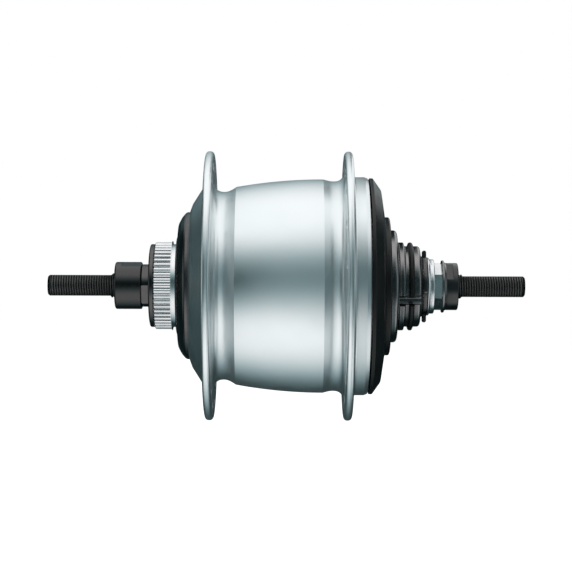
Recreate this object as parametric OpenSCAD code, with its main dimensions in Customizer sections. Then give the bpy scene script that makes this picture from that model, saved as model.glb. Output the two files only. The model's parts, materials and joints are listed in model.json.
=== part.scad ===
// Internal gear hub for the rear wheel of a bicycle.
// Each piece is drawn along z, the line of the axle, with the drive side
// toward +z, and laid() then puts that line on Y with the drive side at -Y.
// The zero of z is the middle of the axle, halfway between the dropouts.
// An angle of 180 degrees about z faces the viewer, and 90 degrees is up.

/* [Axle] */
// Length of the axle over its two ends
axle_len = 184; // [176:0.5:192]
// Distance between the outer faces of the lock nuts, which is the frame's width
over_locknut = 132; // [131.6:0.1:133]
// Outer diameter of the axle thread
thread_d = 9.52; // [9.3:0.01:9.7]
// Pitch of the axle thread, 26 to the inch
thread_pitch = 0.977; // [0.9:0.001:1.1]
// Depth of the axle thread
thread_depth = 0.42; // [0.3:0.01:0.5]
// Distance across the two flats at each end of the axle
flat_w = 8; // [7.6:0.1:8.6]
// Length of full round thread outside each lock nut, before the flats begin
flat_start = 1.6; // [1:0.1:3]
// Diameter of the stem that the sun gear pawls sit in
stem_d = 15; // [14.6:0.1:15.2]
// Wall of the sleeve that turns on the stem
sleeve_wall = 0.9; // [0.7:0.05:1]

/* [Lock nuts] */
// Diameter of the lock nuts
nut_d = 18.2; // [17.6:0.1:19]
// Distance across the two wrench flats of the brake side lock nut
left_nut_af = 17.4; // [17:0.1:17.6]
// Distance across the two wrench flats of the drive side lock nut
right_nut_af = 16.3; // [15.9:0.1:16.8]
// Length of the brake side lock nut
left_nut_len = 10.3; // [9.6:0.1:10.6]
// Length of the drive side lock nut
right_nut_len = 4.6; // [4.2:0.1:4.8]
// Length of the round collar on the brake side lock nut
left_collar_len = 2.6; // [2:0.1:3.4]
// Length of the round collar on the drive side lock nut
right_collar_len = 2; // [1.6:0.1:2.4]
// Diameter of the lock washer's rim
washer_d = 20.2; // [19.4:0.1:21]
// Thickness of the lock washer
washer_t = 1.6; // [1.4:0.1:1.8]
// Thickness of the lock washer's rim
washer_rim_t = 0.9; // [0.7:0.1:1]
// Distance across the flats of the nut that locks the drive side cone
hex_af = 15.7; // [15:0.1:16]

/* [Shell] */
// Place of the outer face of the brake side end wall
wall_z = -37.2; // [-37.4:0.1:-37]
// Thickness of the end wall
wall_t = 3; // [2.6:0.1:3.2]
// Thickness of the barrel under its crown
barrel_wall = 3; // [2.7:0.1:3.4]
// Largest diameter of the barrel
crown_d = 82.4; // [82:0.1:84]
// Place of the drive side edge of the barrel
crown_z = 14; // [13:0.1:15]
// Diameter of the barrel at its brake side shoulder
shoulder_d = 76.4; // [76:0.1:78]
// Place of the brake side shoulder
shoulder_z = -19.3; // [-19.8:0.1:-18.8]
// Smallest diameter of the shell, between the shoulder and the flange
waist_d = 72.4; // [72:0.1:73]
// Diameter of the valley between the crown and the drive side flange
valley_d = 81.2; // [80.8:0.1:81.8]
// Diameter of the bright band at the mouth of the shell
band_d = 84.2; // [83.6:0.1:85]
// Place of the mouth of the shell
mouth_z = 31.1; // [30.9:0.1:31.3]

/* [Spoke flanges] */
// Diameter of the spoke flanges
flange_d = 103.8; // [101:0.1:106]
// Thickness of the spoke flanges at the rim
flange_t = 2.9; // [2.7:0.1:3.3]
// Place of the middle of the brake side flange
left_flange_z = -29.5; // [-29.8:0.1:-29.1]
// Place of the middle of the drive side flange
right_flange_z = 23.7; // [23.4:0.1:24]
// Diameter of the circle of spoke holes in the brake side flange
left_spoke_pcd = 92.6; // [92.4:0.1:94]
// Diameter of the circle of spoke holes in the drive side flange
right_spoke_pcd = 91.2; // [90.4:0.1:91.4]
// Diameter of a spoke hole
spoke_hole_d = 2.8; // [2.6:0.1:3]
// Number of spoke holes in each flange
spoke_count = 18; // [14:1:20]

/* [Brake side] */
// Diameter over the teeth of the brake spline
spline_d = 33.6; // [33.2:0.1:34]
// Number of teeth on the brake spline
spline_teeth = 50; // [40:1:54]
// Depth of the brake spline teeth
spline_depth = 0.9; // [0.7:0.05:1]
// Length of the brake spline
spline_len = 6.3; // [6:0.1:6.6]
// Diameter of the thin lip behind the spline
lip_d = 34.4; // [34.2:0.1:35]
// Thickness of the thin lip
lip_t = 0.5; // [0.4:0.1:0.6]
// Diameter of the bright neck behind the lip
neck_d = 32; // [31.8:0.1:32.6]
// Diameter of the black disc in front of the spline
left_disc_d = 32; // [31:0.1:33]
// Thickness of the black disc in front of the spline
left_disc_t = 1.5; // [1.2:0.1:1.8]
// Diameter of the brake side cone where a wrench holds it
left_cone_d = 16.4; // [16:0.1:16.8]
// Distance across the two wrench flats of the brake side cone
left_cone_af = 14.3; // [13.6:0.1:15]
// Outer diameter of the brake side seal lip
left_seal_d = 38; // [37:0.1:40]
// Thickness of the brake side seal lip
left_seal_t = 1.2; // [1:0.1:1.3]
// Outer diameter of the brake side dust cap
left_cap_d = 56.8; // [56:0.1:57.6]
// Height of the brake side dust cap
left_cap_h = 4.2; // [3.9:0.1:4.5]

/* [Drive side] */
// Outer diameter of the drive side dust cap
right_cap_d = 83.4; // [82:0.1:84]
// Gap between the mouth of the shell and the drive side dust cap
mouth_gap = 0.6; // [0.4:0.1:0.8]
// Height of the drive side dust cap's face above the mouth of the shell
right_cap_h = 6.5; // [6.2:0.1:6.8]
// Diameter of the boss on the drive side dust cap
cap_boss_d = 53.4; // [52:0.1:55]
// Height of the boss on the drive side dust cap
cap_boss_h = 2; // [1.6:0.1:2.4]
// Diameter of the ring that the sprocket rests against
sprocket_ring_d = 43.3; // [42:0.1:45]
// Thickness of the ring that the sprocket rests against
sprocket_ring_t = 2.8; // [2.6:0.1:3.2]
// Diameter of the driver over its two ribs
driver_d = 34; // [33.6:0.1:34.4]
// Diameter of the driver at its nose and in the groove between the ribs
driver_nose_d = 31.1; // [30.7:0.1:31.5]
// Width of each of the three sprocket slots in the driver
slot_w = 4.2; // [3.6:0.1:4.8]
// Diameter of the bright flange on the drive side cone
right_cone_d = 21; // [20.6:0.1:21.2]

/* [Selector] */
// Outer diameter of the selector ring
selector_d = 23.4; // [23:0.1:24]
// Thickness of the selector ring
selector_t = 1.7; // [1.6:0.1:1.8]
// Diameter over the two tabs of the selector ring
selector_tab_d = 27.8; // [26.8:0.1:28.4]
// Turn of the selector ring from first to last speed, in degrees
selector_turn = 154; // [120:1:154]

/* [Bearings] */
// Diameter of the balls of the brake side bearing
left_ball_d = 4.76; // [4.5:0.01:4.8]
// Number of balls in the brake side bearing
left_ball_count = 9; // [7:1:10]
// Diameter of the ball circle of the brake side bearing
left_ball_circle = 19.8; // [19.6:0.1:20]
// Diameter of the balls between the driver and its cone
driver_ball_d = 3.97; // [3.8:0.01:4]
// Number of balls between the driver and its cone
driver_ball_count = 10; // [8:1:12]
// Diameter of the ball circle between the driver and its cone
driver_ball_circle = 21.2; // [21:0.1:21.3]
// Diameter of the balls of the drive side bearing of the shell
right_ball_d = 4.76; // [4.6:0.01:4.8]
// Number of balls in the drive side bearing of the shell
right_ball_count = 20; // [16:1:26]
// Diameter of the ball circle of the drive side bearing of the shell
right_ball_circle = 69.6; // [69.4:0.1:69.8]

/* [Gears] */
// Module of every gear, which is its pitch diameter for each tooth
gear_module = 0.75; // [0.74:0.002:0.752]
// Number of teeth on the sun gear of the reduction stage
sun_a_teeth = 48; // [48:6:48]
// Number of teeth on the smallest sun gear of the step-up stage
sun_b1_teeth = 33; // [33:3:33]
// Number of teeth on the middle sun gear of the step-up stage
sun_b2_teeth = 39; // [39:3:39]
// Number of teeth on the largest sun gear of the step-up stage
sun_b3_teeth = 45; // [45:3:45]
// Teeth of a sun gear and of the planet gear that meshes with it, added together
mesh_teeth = 60; // [60:6:60]
// Number of teeth on the reduction stage's planet gear that meshes with its ring
planet_ring_teeth = 18; // [18:2:18]
// Pressure angle of the teeth, in degrees
pressure_angle = 25; // [22:1:26]
// Thickness taken off each side of a tooth as backlash
backlash = 0.06; // [0.05:0.01:0.09]
// Width of the reduction stage's gears
stage_a_w = 6; // [5:0.1:6.2]
// Width of the step-up stage's gears
stage_b_w = 4.6; // [4:0.1:4.8]
// Number of planets in each stage
planet_count = 3; // [3:1:3]
// Diameter of the planet pins
pin_d = 4; // [3.6:0.1:4.2]

/* [Clutches] */
// Number of rollers in each clutch
roller_count = 12; // [8:1:15]
// Diameter of the rollers of the step-up clutch
roller_d = 3.5; // [3.3:0.1:3.5]
// Diameter of the rollers of the direct clutch
low_roller_d = 4; // [3.8:0.1:4.1]

/* [Hidden] */
$fn = 96;

// Clearances
run_gap = 0.05;
side_gap = 0.3;
ball_gap = 0.04;
thread_gap = 0.02;
eps = 0.5;

// Steps along each rounded corner and along the barrel's curve
arc_steps = 5;
barrel_steps = 14;

// Radii of the axle and what turns on it
thread_r = thread_d / 2;
stem_r = stem_d / 2;
sleeve_in_r = stem_r + run_gap;
sleeve_out_r = sleeve_in_r + sleeve_wall;
sun_bore_r = sleeve_out_r + run_gap;
carrier_bore_r = sun_bore_r;
axle_shoulder_r = carrier_bore_r - run_gap;

// Brake side, from the end wall outward
cap_left_z = wall_z - left_cap_h;
seal_left_z = cap_left_z - left_seal_t;
bright_neck_len = 1.35;
lip_z = seal_left_z - bright_neck_len;
spline_z = lip_z - lip_t;
spline_end_z = spline_z - spline_len;
disc_in_z = spline_end_z - side_gap;
disc_out_z = disc_in_z - left_disc_t;
left_face_z = -over_locknut / 2;
left_nut_in_z = left_face_z + left_nut_len;
neck_r = neck_d / 2;
spline_bore_r = spline_d / 2 - spline_depth - 1;

// Brake side bearing
left_ball_r = left_ball_d / 2;
left_pitch_r = left_ball_circle / 2;
left_ball_z = spline_end_z + 4.8;
left_cup_in_r = left_pitch_r + left_ball_r + ball_gap;
left_cup_out_r = left_cup_in_r + 0.9;
left_cup_len = 6;
left_cone_track_r = left_pitch_r - left_ball_r - ball_gap;
left_cone_end_z = left_ball_z + 3.4;
neck_bore_r = left_cup_in_r - 1;

// Shell
flange_r = flange_d / 2;
waist_r = waist_d / 2;
waist_z = left_flange_z + 5.2;
crown_r = crown_d / 2;
valley_r = valley_d / 2;
band_r = band_d / 2;
barrel_bore_r = shoulder_d / 2 - 1.9;
right_bore_r = crown_r - barrel_wall - 0.6;
waist_bore_r = waist_r - 2.3;

// Drive side bearing of the shell
right_ball_r = right_ball_d / 2;
right_pitch_r = right_ball_circle / 2;
right_ball_z = mouth_z - 3;
right_cup_in_r = right_pitch_r + right_ball_r + ball_gap;
right_cup_out_r = right_cup_in_r + 1.5;
right_cup_z = right_ball_z - 3.4;
right_track_r = right_pitch_r - right_ball_r - ball_gap;

// Gear teeth
addendum = 0.8 * gear_module;
dedendum = 1.05 * gear_module;
centre_r = mesh_teeth * gear_module / 2;
planet_a_teeth = mesh_teeth - sun_a_teeth;
planet_b1_teeth = mesh_teeth - sun_b1_teeth;
planet_b2_teeth = mesh_teeth - sun_b2_teeth;
planet_b3_teeth = mesh_teeth - sun_b3_teeth;
ring_a_teeth = mesh_teeth + planet_ring_teeth;
ring_b_teeth = mesh_teeth + planet_b3_teeth;

// Step-up stage, from the drive side inward
mesh_gap = 0.4;
plate_t = 2;
b1_z1 = crown_z - 8;
b1_z0 = b1_z1 - stage_b_w - 2 * mesh_gap;
b2_z0 = b1_z0 - stage_b_w - mesh_gap;
b3_z0 = b2_z0 - stage_b_w - 4 - mesh_gap;
left_plate_z0 = b3_z0 - mesh_gap - plate_t;
mid_plate_z0 = b1_z1 + mesh_gap;
mid_plate_z1 = mid_plate_z0 + plate_t;
ring_b_web_z1 = left_plate_z0 - mesh_gap;
ring_b_web_z0 = ring_b_web_z1 - 1.6;
ring_b_out_r = ring_b_teeth * gear_module / 2 + dedendum + 3;

// Reduction stage, from the middle plate outward
a_sun_z0 = mid_plate_z1 + 2 * mesh_gap;
a_sun_z1 = a_sun_z0 + stage_a_w;
a_ring_z0 = a_sun_z1 + mesh_gap;
a_ring_z1 = a_ring_z0 + stage_a_w + 4;
right_plate_z0 = a_ring_z1 + mesh_gap;
right_plate_z1 = right_plate_z0 + plate_t;
sun_a_tip_r = sun_a_teeth * gear_module / 2 + addendum;
ring_a_tip_r = ring_a_teeth * gear_module / 2 - addendum;
ring_b_tip_r = ring_b_teeth * gear_module / 2 - addendum;
carrier_out_r = ring_b_tip_r - 0.6;
pillar_in_r = sun_a_tip_r + 0.8;
pillar_out_r = carrier_out_r - 0.3;
pillar_angle = 40;
carrier_hub_r = 13;
pin_r = pin_d / 2;

// Clutches
roller_r = roller_d / 2;
roller_pitch_r = ring_b_out_r + run_gap + roller_r;
roller_len = 7;
roller_z0 = b3_z0 + 0.6;
liner_in_r = roller_pitch_r + roller_r + run_gap;
low_roller_r = low_roller_d / 2;
low_z1 = ring_b_web_z0 - mesh_gap;
low_z0 = wall_z + wall_t + 3.2;
low_cam_r = waist_bore_r - low_roller_d - 0.5;
low_roller_pitch_r = low_cam_r + low_roller_r + run_gap;
low_roller_len = low_z1 - low_z0 - 2.4;

// Drive side, from the shell's mouth outward
cap_lip_z = mouth_z + mouth_gap;
cap_face_z = mouth_z + right_cap_h;
cap_boss_z = cap_face_z + cap_boss_h;
sprocket_z = cap_boss_z + sprocket_ring_t;
driver_r = driver_d / 2;
driver_nose_r = driver_nose_d / 2;
driver_seat_r = 17.5;
rib_w = 2.1;
rib_gap = 1.8;
rib1_z = sprocket_z + 0.5;
rib2_z = rib1_z + rib_w + rib_gap;
nose_z = rib2_z + rib_w - 0.1;
driver_end_z = nose_z + 2.5;
slot_count = 3;
slot_at = 79.5;
driver_bore_r = 11;
driver_in_z = right_plate_z1 + 0.8;
driver_flange_t = 2.8;
driver_flange_z = driver_in_z + driver_flange_t;
driver_flange_r = ring_a_tip_r - 0.3;
ring_a_out_r = right_track_r;
ring_a_shoulder_r = ring_a_out_r + 1.4;
ring_a_end_z = driver_flange_z + 0.3;
ratchet_r = ring_a_tip_r + 1.6;

// Bearing between the driver and the drive side cone
driver_ball_r = driver_ball_d / 2;
driver_pitch_r = driver_ball_circle / 2;
driver_ball_z = driver_end_z - 3.8;
driver_cup_r = driver_pitch_r + driver_ball_r + ball_gap;
cone_track_r = driver_pitch_r - driver_ball_r - ball_gap;
cone_in_z = driver_ball_z - 2;
seal_z = driver_end_z - 1.5;
seal_end_z = driver_end_z + 0.9;

// Selector ring, drive side cone and nuts
selector_z = seal_end_z + 0.15;
cone_flange_z = selector_z + selector_t + 0.1;
cone_flange_len = 2.65;
cone_end_z = cone_flange_z + cone_flange_len;
right_face_z = over_locknut / 2;
right_nut_in_z = right_face_z - right_nut_len;
washer_z = right_nut_in_z - washer_t;
journal_r = 9;
tube_out_r = 7.1;
tube_in_r = thread_r + 0.1;
tube_end_z = cone_flange_z - 0.2;
cone_bore_r = tube_out_r + run_gap;
stem_reach = 5;
stem_end_z = driver_in_z + stem_reach;
sleeve_step_z = stem_end_z + 0.4;
key_w = 3;
key_z0 = selector_z + 0.3;
key_len = selector_t - 0.7;
key_angle = 90;

// How far each nut and the brake side cone are turned about the axle
left_nut_turn = 109;
right_nut_turn = 135.5;
hex_nut_turn = 30;
left_cone_turn = 29;

// Mark on the selector ring
mark_at = 175;
mark_angle = 34;

// Sun gear pawls, one in the middle of each sun gear
pawl_w = 2.6;
pawl_deep = 2.4;
pawl_angle = -30;
notch_r = sun_bore_r + 1;
spring_wire_r = 0.3;
sun_b3_mid = b3_z0 + mesh_gap + (stage_b_w + 3.6) / 2;
sun_b2_mid = b2_z0 + mesh_gap + stage_b_w / 2;
sun_b1_mid = b1_z0 + mesh_gap + stage_b_w / 2;
sun_a_mid = (a_sun_z0 + a_sun_z1) / 2;
pawl_mids = [sun_b3_mid, sun_b2_mid, sun_b1_mid, sun_a_mid];
pawl_reach = [notch_r - 0.1, stem_r - 0.1, stem_r - 0.1, notch_r - 0.1];

// Lays the line of the axle on Y, with the drive side at -Y
module laid() {
    rotate([90, 0, 0]) children();
}

function unit(v) = v / norm(v);

// A corner of an outline as an arc that is tangent to both of its sides
function corner(before, at, after, rad) =
    rad == 0 ? [at] :
    let (u = unit(before - at))
    let (v = unit(after - at))
    let (half = acos(u * v) / 2)
    let (centre = at + unit(u + v) * rad / sin(half))
    let (first = at + u * rad / tan(half) - centre)
    let (last = at + v * rad / tan(half) - centre)
    let (start = atan2(first[1], first[0]))
    let (swing = atan2(last[1], last[0]) - start)
    let (turn = swing > 180 ? swing - 360 : swing < -180 ? swing + 360 : swing)
    [for (k = [0 : arc_steps])
        centre + rad * [cos(start + turn * k / arc_steps), sin(start + turn * k / arc_steps)]];

function flat(p) = [p[0], p[1]];

// An outline from points that each hold a radius, a height and a corner radius
function rounded(path) =
    let (n = len(path))
    [for (i = [0 : n - 1])
        each corner(flat(path[(i + n - 1) % n]), flat(path[i]), flat(path[(i + 1) % n]), path[i][2])];

// A solid turned about the axle's line
module turned(path) {
    rotate_extrude() polygon(rounded(path));
}

module tube(r_in, r_out, z0, z1) {
    difference() {
        translate([0, 0, z0]) cylinder(r = r_out, h = z1 - z0);
        translate([0, 0, z0 - eps]) cylinder(r = r_in, h = z1 - z0 + 2 * eps);
    }
}

// The groove that a row of balls of radius r runs in
module ball_track(pitch_r, r, z) {
    rotate_extrude() translate([pitch_r, z]) circle(r = r);
}

module ball_row(pitch_r, r, z, count) {
    for (k = [0 : count - 1])
        rotate(360 / count * (k + 0.5)) translate([pitch_r, 0, z]) sphere(r = r);
}

// A ball cage: a band with a pocket for each ball
module ball_cage(pitch_r, ball_r, z, count, band_t, band_w) {
    difference() {
        tube(pitch_r - band_t / 2, pitch_r + band_t / 2, z - band_w / 2, z + band_w / 2);
        ball_row(pitch_r, ball_r + 0.06, z, count);
    }
}

// The space outside two opposite flats of a round piece, between two heights
module wrench_flats(across, z0, z1, phase) {
    for (side = [0, 180])
        rotate(phase + side)
            translate([across / 2, -nut_d, z0]) cube([nut_d, 2 * nut_d, z1 - z0]);
}

// Involute teeth
function inv(a) = tan(a) - a * PI / 180;
function base_r(teeth) = teeth * gear_module / 2 * cos(pressure_angle);
function angle_at(teeth, r) = r <= base_r(teeth) ? 0 : acos(base_r(teeth) / r);

// Half the angle that a tooth takes up at radius r, less the slack taken off its side
function half_tooth(teeth, r, slack) =
    90 / teeth + (inv(pressure_angle) - inv(angle_at(teeth, r))) * 180 / PI
    - slack / (teeth * gear_module / 2) * 180 / PI;

function tooth_point(r, a) = [r * cos(a), r * sin(a)];

// Outline of a gear whose first tooth, or gap in a ring gear, points at phase
function gear_outline(teeth, r_root, r_tip, slack, phase) =
    let (r_mid = teeth * gear_module / 2)
    [for (k = [0 : teeth - 1])
        let (a = phase + 360 * k / teeth)
        for (p = [[r_root, -1], [r_mid, -1], [r_tip, -1], [r_tip, 1], [r_mid, 1], [r_root, 1]])
            tooth_point(p[0], a + p[1] * half_tooth(teeth, p[0], slack))];

module gear_blank(teeth, phase, z0, z1) {
    pitch_r = teeth * gear_module / 2;
    translate([0, 0, z0]) linear_extrude(z1 - z0)
        polygon(gear_outline(teeth, pitch_r - dedendum, pitch_r + addendum, backlash, phase));
}

// The space inside a ring gear, with a gap between its teeth at phase
module ring_space(teeth, phase, z0, z1) {
    pitch_r = teeth * gear_module / 2;
    translate([0, 0, z0]) linear_extrude(z1 - z0)
        polygon(gear_outline(teeth, pitch_r - addendum, pitch_r + dedendum, -backlash, phase));
}

// Outline of the axle's thread along one end, from z0 outward to the chamfer
function thread_outline(z0, z1) =
    let (count = floor((z1 - z0) / thread_pitch))
    [for (k = [0 : count - 1]) each [
        [thread_r, z0 + k * thread_pitch],
        [thread_r - thread_depth, z0 + (k + 0.5) * thread_pitch]]];

function mirrored(points) = [for (i = [len(points) - 1 : -1 : 0]) [points[i][0], -points[i][1]]];

module hub_axle() color("#2b2c2d") laid() {
    end_z = axle_len / 2;
    chamfer = 1.3;
    thread_z = over_locknut / 2 + flat_start;
    right_end = concat(thread_outline(thread_z, end_z - chamfer - 0.2), [
        [thread_r, end_z - chamfer], [thread_r - chamfer, end_z], [0, end_z]]);
    left_end = mirrored(right_end);
    difference() {
        rotate_extrude() polygon(concat(left_end, [
            [thread_r, left_cone_end_z + 0.5], [axle_shoulder_r, left_cone_end_z + 0.5],
            [axle_shoulder_r, left_plate_z0 + 0.2], [stem_r, left_plate_z0 + 0.2],
            [stem_r, stem_end_z], [thread_r, stem_end_z]], right_end));
        for (side = [-1, 1])
            for (z0 = [thread_z, -end_z - eps])
                translate([-thread_d, side * (flat_w / 2 + thread_r) - thread_r, z0])
                    cube([2 * thread_d, thread_d, end_z - thread_z + eps]);
        for (z = pawl_mids)
            pawl_pocket(z);
    }
}

// The pocket in the axle's stem that holds a pawl at height z
module pawl_pocket(z) {
    rotate(pawl_angle) translate([stem_r - pawl_deep, -pawl_w / 2 - 0.02, z - pawl_w / 2 - 0.02])
        cube([pawl_deep + eps, pawl_w + 0.04, pawl_w + 0.04]);
    ball_track(stem_r - spring_wire_r, spring_wire_r + 0.02, z);
}

module sun_pawls() color("#8d9092") laid() {
    for (i = [0 : len(pawl_mids) - 1])
        difference() {
            rotate(pawl_angle) translate([stem_r - pawl_deep, -pawl_w / 2, pawl_mids[i] - pawl_w / 2])
                cube([pawl_reach[i] - stem_r + pawl_deep, pawl_w, pawl_w]);
            ball_track(stem_r - spring_wire_r, spring_wire_r + 0.02, pawl_mids[i]);
        }
}

// Each pawl's spring is a ring of wire, open on the side away from the pawl
module pawl_springs() color("#b9bcbe") laid() {
    for (z = pawl_mids)
        rotate(pawl_angle - 150)
            rotate_extrude(angle = 300) translate([stem_r - spring_wire_r, z]) circle(r = spring_wire_r);
}

module left_locknut() color("#1d1e1f") laid() {
    nut_r = nut_d / 2;
    difference() {
        turned([
            [thread_r + thread_gap, left_face_z, 0], [nut_r, left_face_z, 0.9],
            [nut_r, left_nut_in_z, 0.4], [thread_r + thread_gap, left_nut_in_z, 0]]);
        wrench_flats(left_nut_af, left_face_z + left_collar_len, left_nut_in_z + eps, left_nut_turn);
    }
}

module left_cone() color("#4a4c4d") laid() {
    cone_r = left_cone_d / 2;
    difference() {
        union() {
            tube(thread_r + thread_gap, left_cone_track_r, left_nut_in_z, left_cone_end_z);
            tube(thread_r + thread_gap, cone_r, left_nut_in_z, left_ball_z);
        }
        ball_track(left_pitch_r, left_ball_r + ball_gap, left_ball_z);
        wrench_flats(left_cone_af, left_nut_in_z - eps, disc_out_z, left_cone_turn);
    }
}

module left_cone_disc() color("#17181a") laid() {
    turned([
        [left_cone_d / 2, disc_out_z, 0], [left_disc_d / 2, disc_out_z, 0.7],
        [left_disc_d / 2, disc_in_z, 0], [left_cone_d / 2, disc_in_z, 0]]);
}

module left_balls() color("#c8ccce") laid()
    ball_row(left_pitch_r, left_ball_r, left_ball_z, left_ball_count);

module left_ball_retainer() color("#8f7b4a") laid()
    ball_cage(left_pitch_r, left_ball_r, left_ball_z, left_ball_count, 1.2, 3);

module left_cup() color("#a9adaf") laid() {
    z0 = spline_end_z + 1.4;
    difference() {
        union() {
            tube(left_cup_in_r, left_cup_out_r, z0, z0 + left_cup_len);
            tube(left_cup_in_r - 1, left_cup_out_r, left_ball_z, z0 + left_cup_len);
        }
        ball_track(left_pitch_r, left_ball_r + ball_gap, left_ball_z);
    }
}

// The brake spline: a splined sleeve with a thin lip behind its teeth
module brake_spline() color("#dfe3e4") laid() {
    tip_r = spline_d / 2;
    root_r = tip_r - spline_depth;
    step = 360 / spline_teeth;
    root = [root_r, step * 0.37];
    tip = [tip_r, step * 0.3];
    side = [[root[0], -root[1]], [tip[0], -tip[1]], tip, root];
    difference() {
        union() {
            translate([0, 0, spline_end_z]) linear_extrude(spline_len + lip_t / 2)
                polygon([for (k = [0 : spline_teeth - 1])
                    for (p = side) tooth_point(p[0], step * k + p[1])]);
            tube(spline_bore_r - eps, lip_d / 2, spline_z, lip_z);
        }
        translate([0, 0, spline_end_z - eps]) cylinder(r = spline_bore_r, h = spline_len + lip_t + 2 * eps);
        rotate_extrude() polygon([
            [tip_r - 1, spline_end_z - 0.6], [tip_r + 1, spline_end_z - 0.6],
            [tip_r + 1, spline_end_z + 1.4]]);
    }
}

module left_seal() color("#141516") laid() {
    turned([
        [neck_r, seal_left_z, 0], [left_seal_d / 2, seal_left_z, 0.6],
        [left_seal_d / 2, cap_left_z, 0], [neck_r, cap_left_z, 0]]);
}

module left_dust_cap() color("#18191b") laid() {
    cap_r = left_cap_d / 2;
    turned([
        [neck_r, cap_left_z, 0], [cap_r - 4.4, cap_left_z, 1.6], [cap_r - 0.9, wall_z - 1.4, 0.8],
        [cap_r, wall_z - 0.9, 0.3], [cap_r, wall_z, 0], [neck_r, wall_z, 0]]);
}

// Height of the barrel's curve at z, which meets the crown level
function barrel_r(z) = crown_r - (crown_r - shoulder_d / 2) * pow((crown_z - z) / (crown_z - shoulder_z), 2);

module hub_shell() color("#9fb4b7") laid() {
    left_face = left_flange_z - flange_t / 2;
    left_back = left_flange_z + flange_t / 2;
    right_back = right_flange_z - flange_t / 2;
    right_face = right_flange_z + flange_t / 2;
    cap_r = left_cap_d / 2;
    barrel = [for (k = [0 : barrel_steps])
        let (z = shoulder_z + (crown_z - shoulder_z) * k / barrel_steps)
        [barrel_r(z), z, 0]];
    outside = concat([
        [spline_bore_r, spline_end_z + 0.2, 0], [spline_bore_r, lip_z, 0], [neck_r, lip_z, 0.2],
        [neck_r, wall_z, 0], [cap_r, wall_z, 0], [cap_r + 3.3, wall_z + 1.2, 3],
        [cap_r + 11.2, left_face, 2.6],
        [flange_r - 4, left_face, 1], [flange_r - 3.2, left_face - 0.12, 0.6],
        [flange_r, left_face - 0.12, 1.4],
        [flange_r, left_back + 0.12, 1.4], [flange_r - 3.2, left_back + 0.12, 0.6],
        [flange_r - 4, left_back, 1], [waist_r + 0.4, left_back, 3.4], [waist_r, waist_z + 0.6, 2.4]],
        barrel, [
        [valley_r, crown_z + 1.6, 0.9], [valley_r + 0.1, right_back - 0.4, 2.9],
        [flange_r - 4, right_back, 1], [flange_r - 3.2, right_back - 0.12, 0.6],
        [flange_r, right_back - 0.12, 1.4],
        [flange_r, right_face + 0.12, 1.4], [flange_r - 3.2, right_face + 0.12, 0.6],
        [flange_r - 4, right_face, 1], [band_r, right_face, 1.2],
        [band_r, mouth_z - 1.3, 0.3], [band_r - 0.5, mouth_z, 0]]);
    inside = [
        [right_cup_out_r, mouth_z, 0], [right_cup_out_r, right_cup_z, 0],
        [right_bore_r - 0.4, right_cup_z, 0], [right_bore_r - 0.4, crown_z, 0.5],
        [barrel_bore_r, crown_z - 2, 0.5], [barrel_bore_r, shoulder_z + 2.2, 1],
        [waist_bore_r, shoulder_z - 0.6, 1], [waist_bore_r, left_face + 0.5, 1.5],
        [cap_r - 1, wall_z + wall_t, 1.5], [neck_bore_r, wall_z + wall_t, 0.5],
        [neck_bore_r, left_cup_end(), 0], [left_cup_out_r, left_cup_end(), 0],
        [left_cup_out_r, spline_end_z + 0.2, 0]];
    difference() {
        turned(concat(outside, inside));
        spoke_holes(left_spoke_pcd, left_flange_z, 0);
        spoke_holes(right_spoke_pcd, right_flange_z, 180 / spoke_count);
    }
}

function left_cup_end() = spline_end_z + 1.4 + left_cup_len;

module spoke_holes(pcd, z, phase) {
    for (k = [0 : spoke_count - 1])
        rotate(phase + 360 / spoke_count * k)
            translate([pcd / 2, 0, z - flange_t]) cylinder(d = spoke_hole_d, h = 2 * flange_t);
}

module right_cup() color("#a9adaf") laid() {
    z1 = mouth_z - 0.3;
    difference() {
        union() {
            tube(right_cup_in_r, right_cup_out_r, right_cup_z, z1);
            tube(right_cup_in_r - 1.5, right_cup_out_r, right_cup_z, right_ball_z);
        }
        ball_track(right_pitch_r, right_ball_r + ball_gap, right_ball_z);
    }
}

module right_balls() color("#c8ccce") laid()
    ball_row(right_pitch_r, right_ball_r, right_ball_z, right_ball_count);

module right_ball_retainer() color("#8f7b4a") laid()
    ball_cage(right_pitch_r, right_ball_r, right_ball_z, right_ball_count, 1.2, 3.4);

module driver_balls() color("#c8ccce") laid()
    ball_row(driver_pitch_r, driver_ball_r, driver_ball_z, driver_ball_count);

module driver_ball_retainer() color("#8f7b4a") laid()
    ball_cage(driver_pitch_r, driver_ball_r, driver_ball_z, driver_ball_count, 1, 2.6);

module sun_gear(teeth, z0, z1) {
    difference() {
        gear_blank(teeth, 0, z0, z1);
        translate([0, 0, z0 - eps]) cylinder(r = sun_bore_r, h = z1 - z0 + 2 * eps);
        for (k = [0 : 5])
            rotate(pawl_angle + 60 * k) translate([0, -pawl_w / 2 - 0.2, z0 - eps])
                cube([notch_r, pawl_w + 0.4, z1 - z0 + 2 * eps]);
    }
}

module sun_gear_a() color("#7d8284") laid() sun_gear(sun_a_teeth, a_sun_z0, a_sun_z1);

module sun_gear_b1() color("#7d8284") laid()
    sun_gear(sun_b1_teeth, b1_z0 + mesh_gap, b1_z0 + mesh_gap + stage_b_w);

module sun_gear_b2() color("#7d8284") laid()
    sun_gear(sun_b2_teeth, b2_z0 + mesh_gap, b2_z0 + mesh_gap + stage_b_w - mesh_gap);

module sun_gear_b3() color("#7d8284") laid()
    sun_gear(sun_b3_teeth, b3_z0 + mesh_gap, b3_z0 + mesh_gap + stage_b_w + 3.2);

module thrust_washers() color("#9a9d9f") laid() {
    tube(sun_bore_r, sun_bore_r + 2, b1_z1 - mesh_gap + 0.1, b1_z1 + 0.2);
    tube(sun_bore_r, sun_bore_r + 2, a_sun_z1 + 0.1, a_sun_z1 + 0.9);
}

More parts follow.
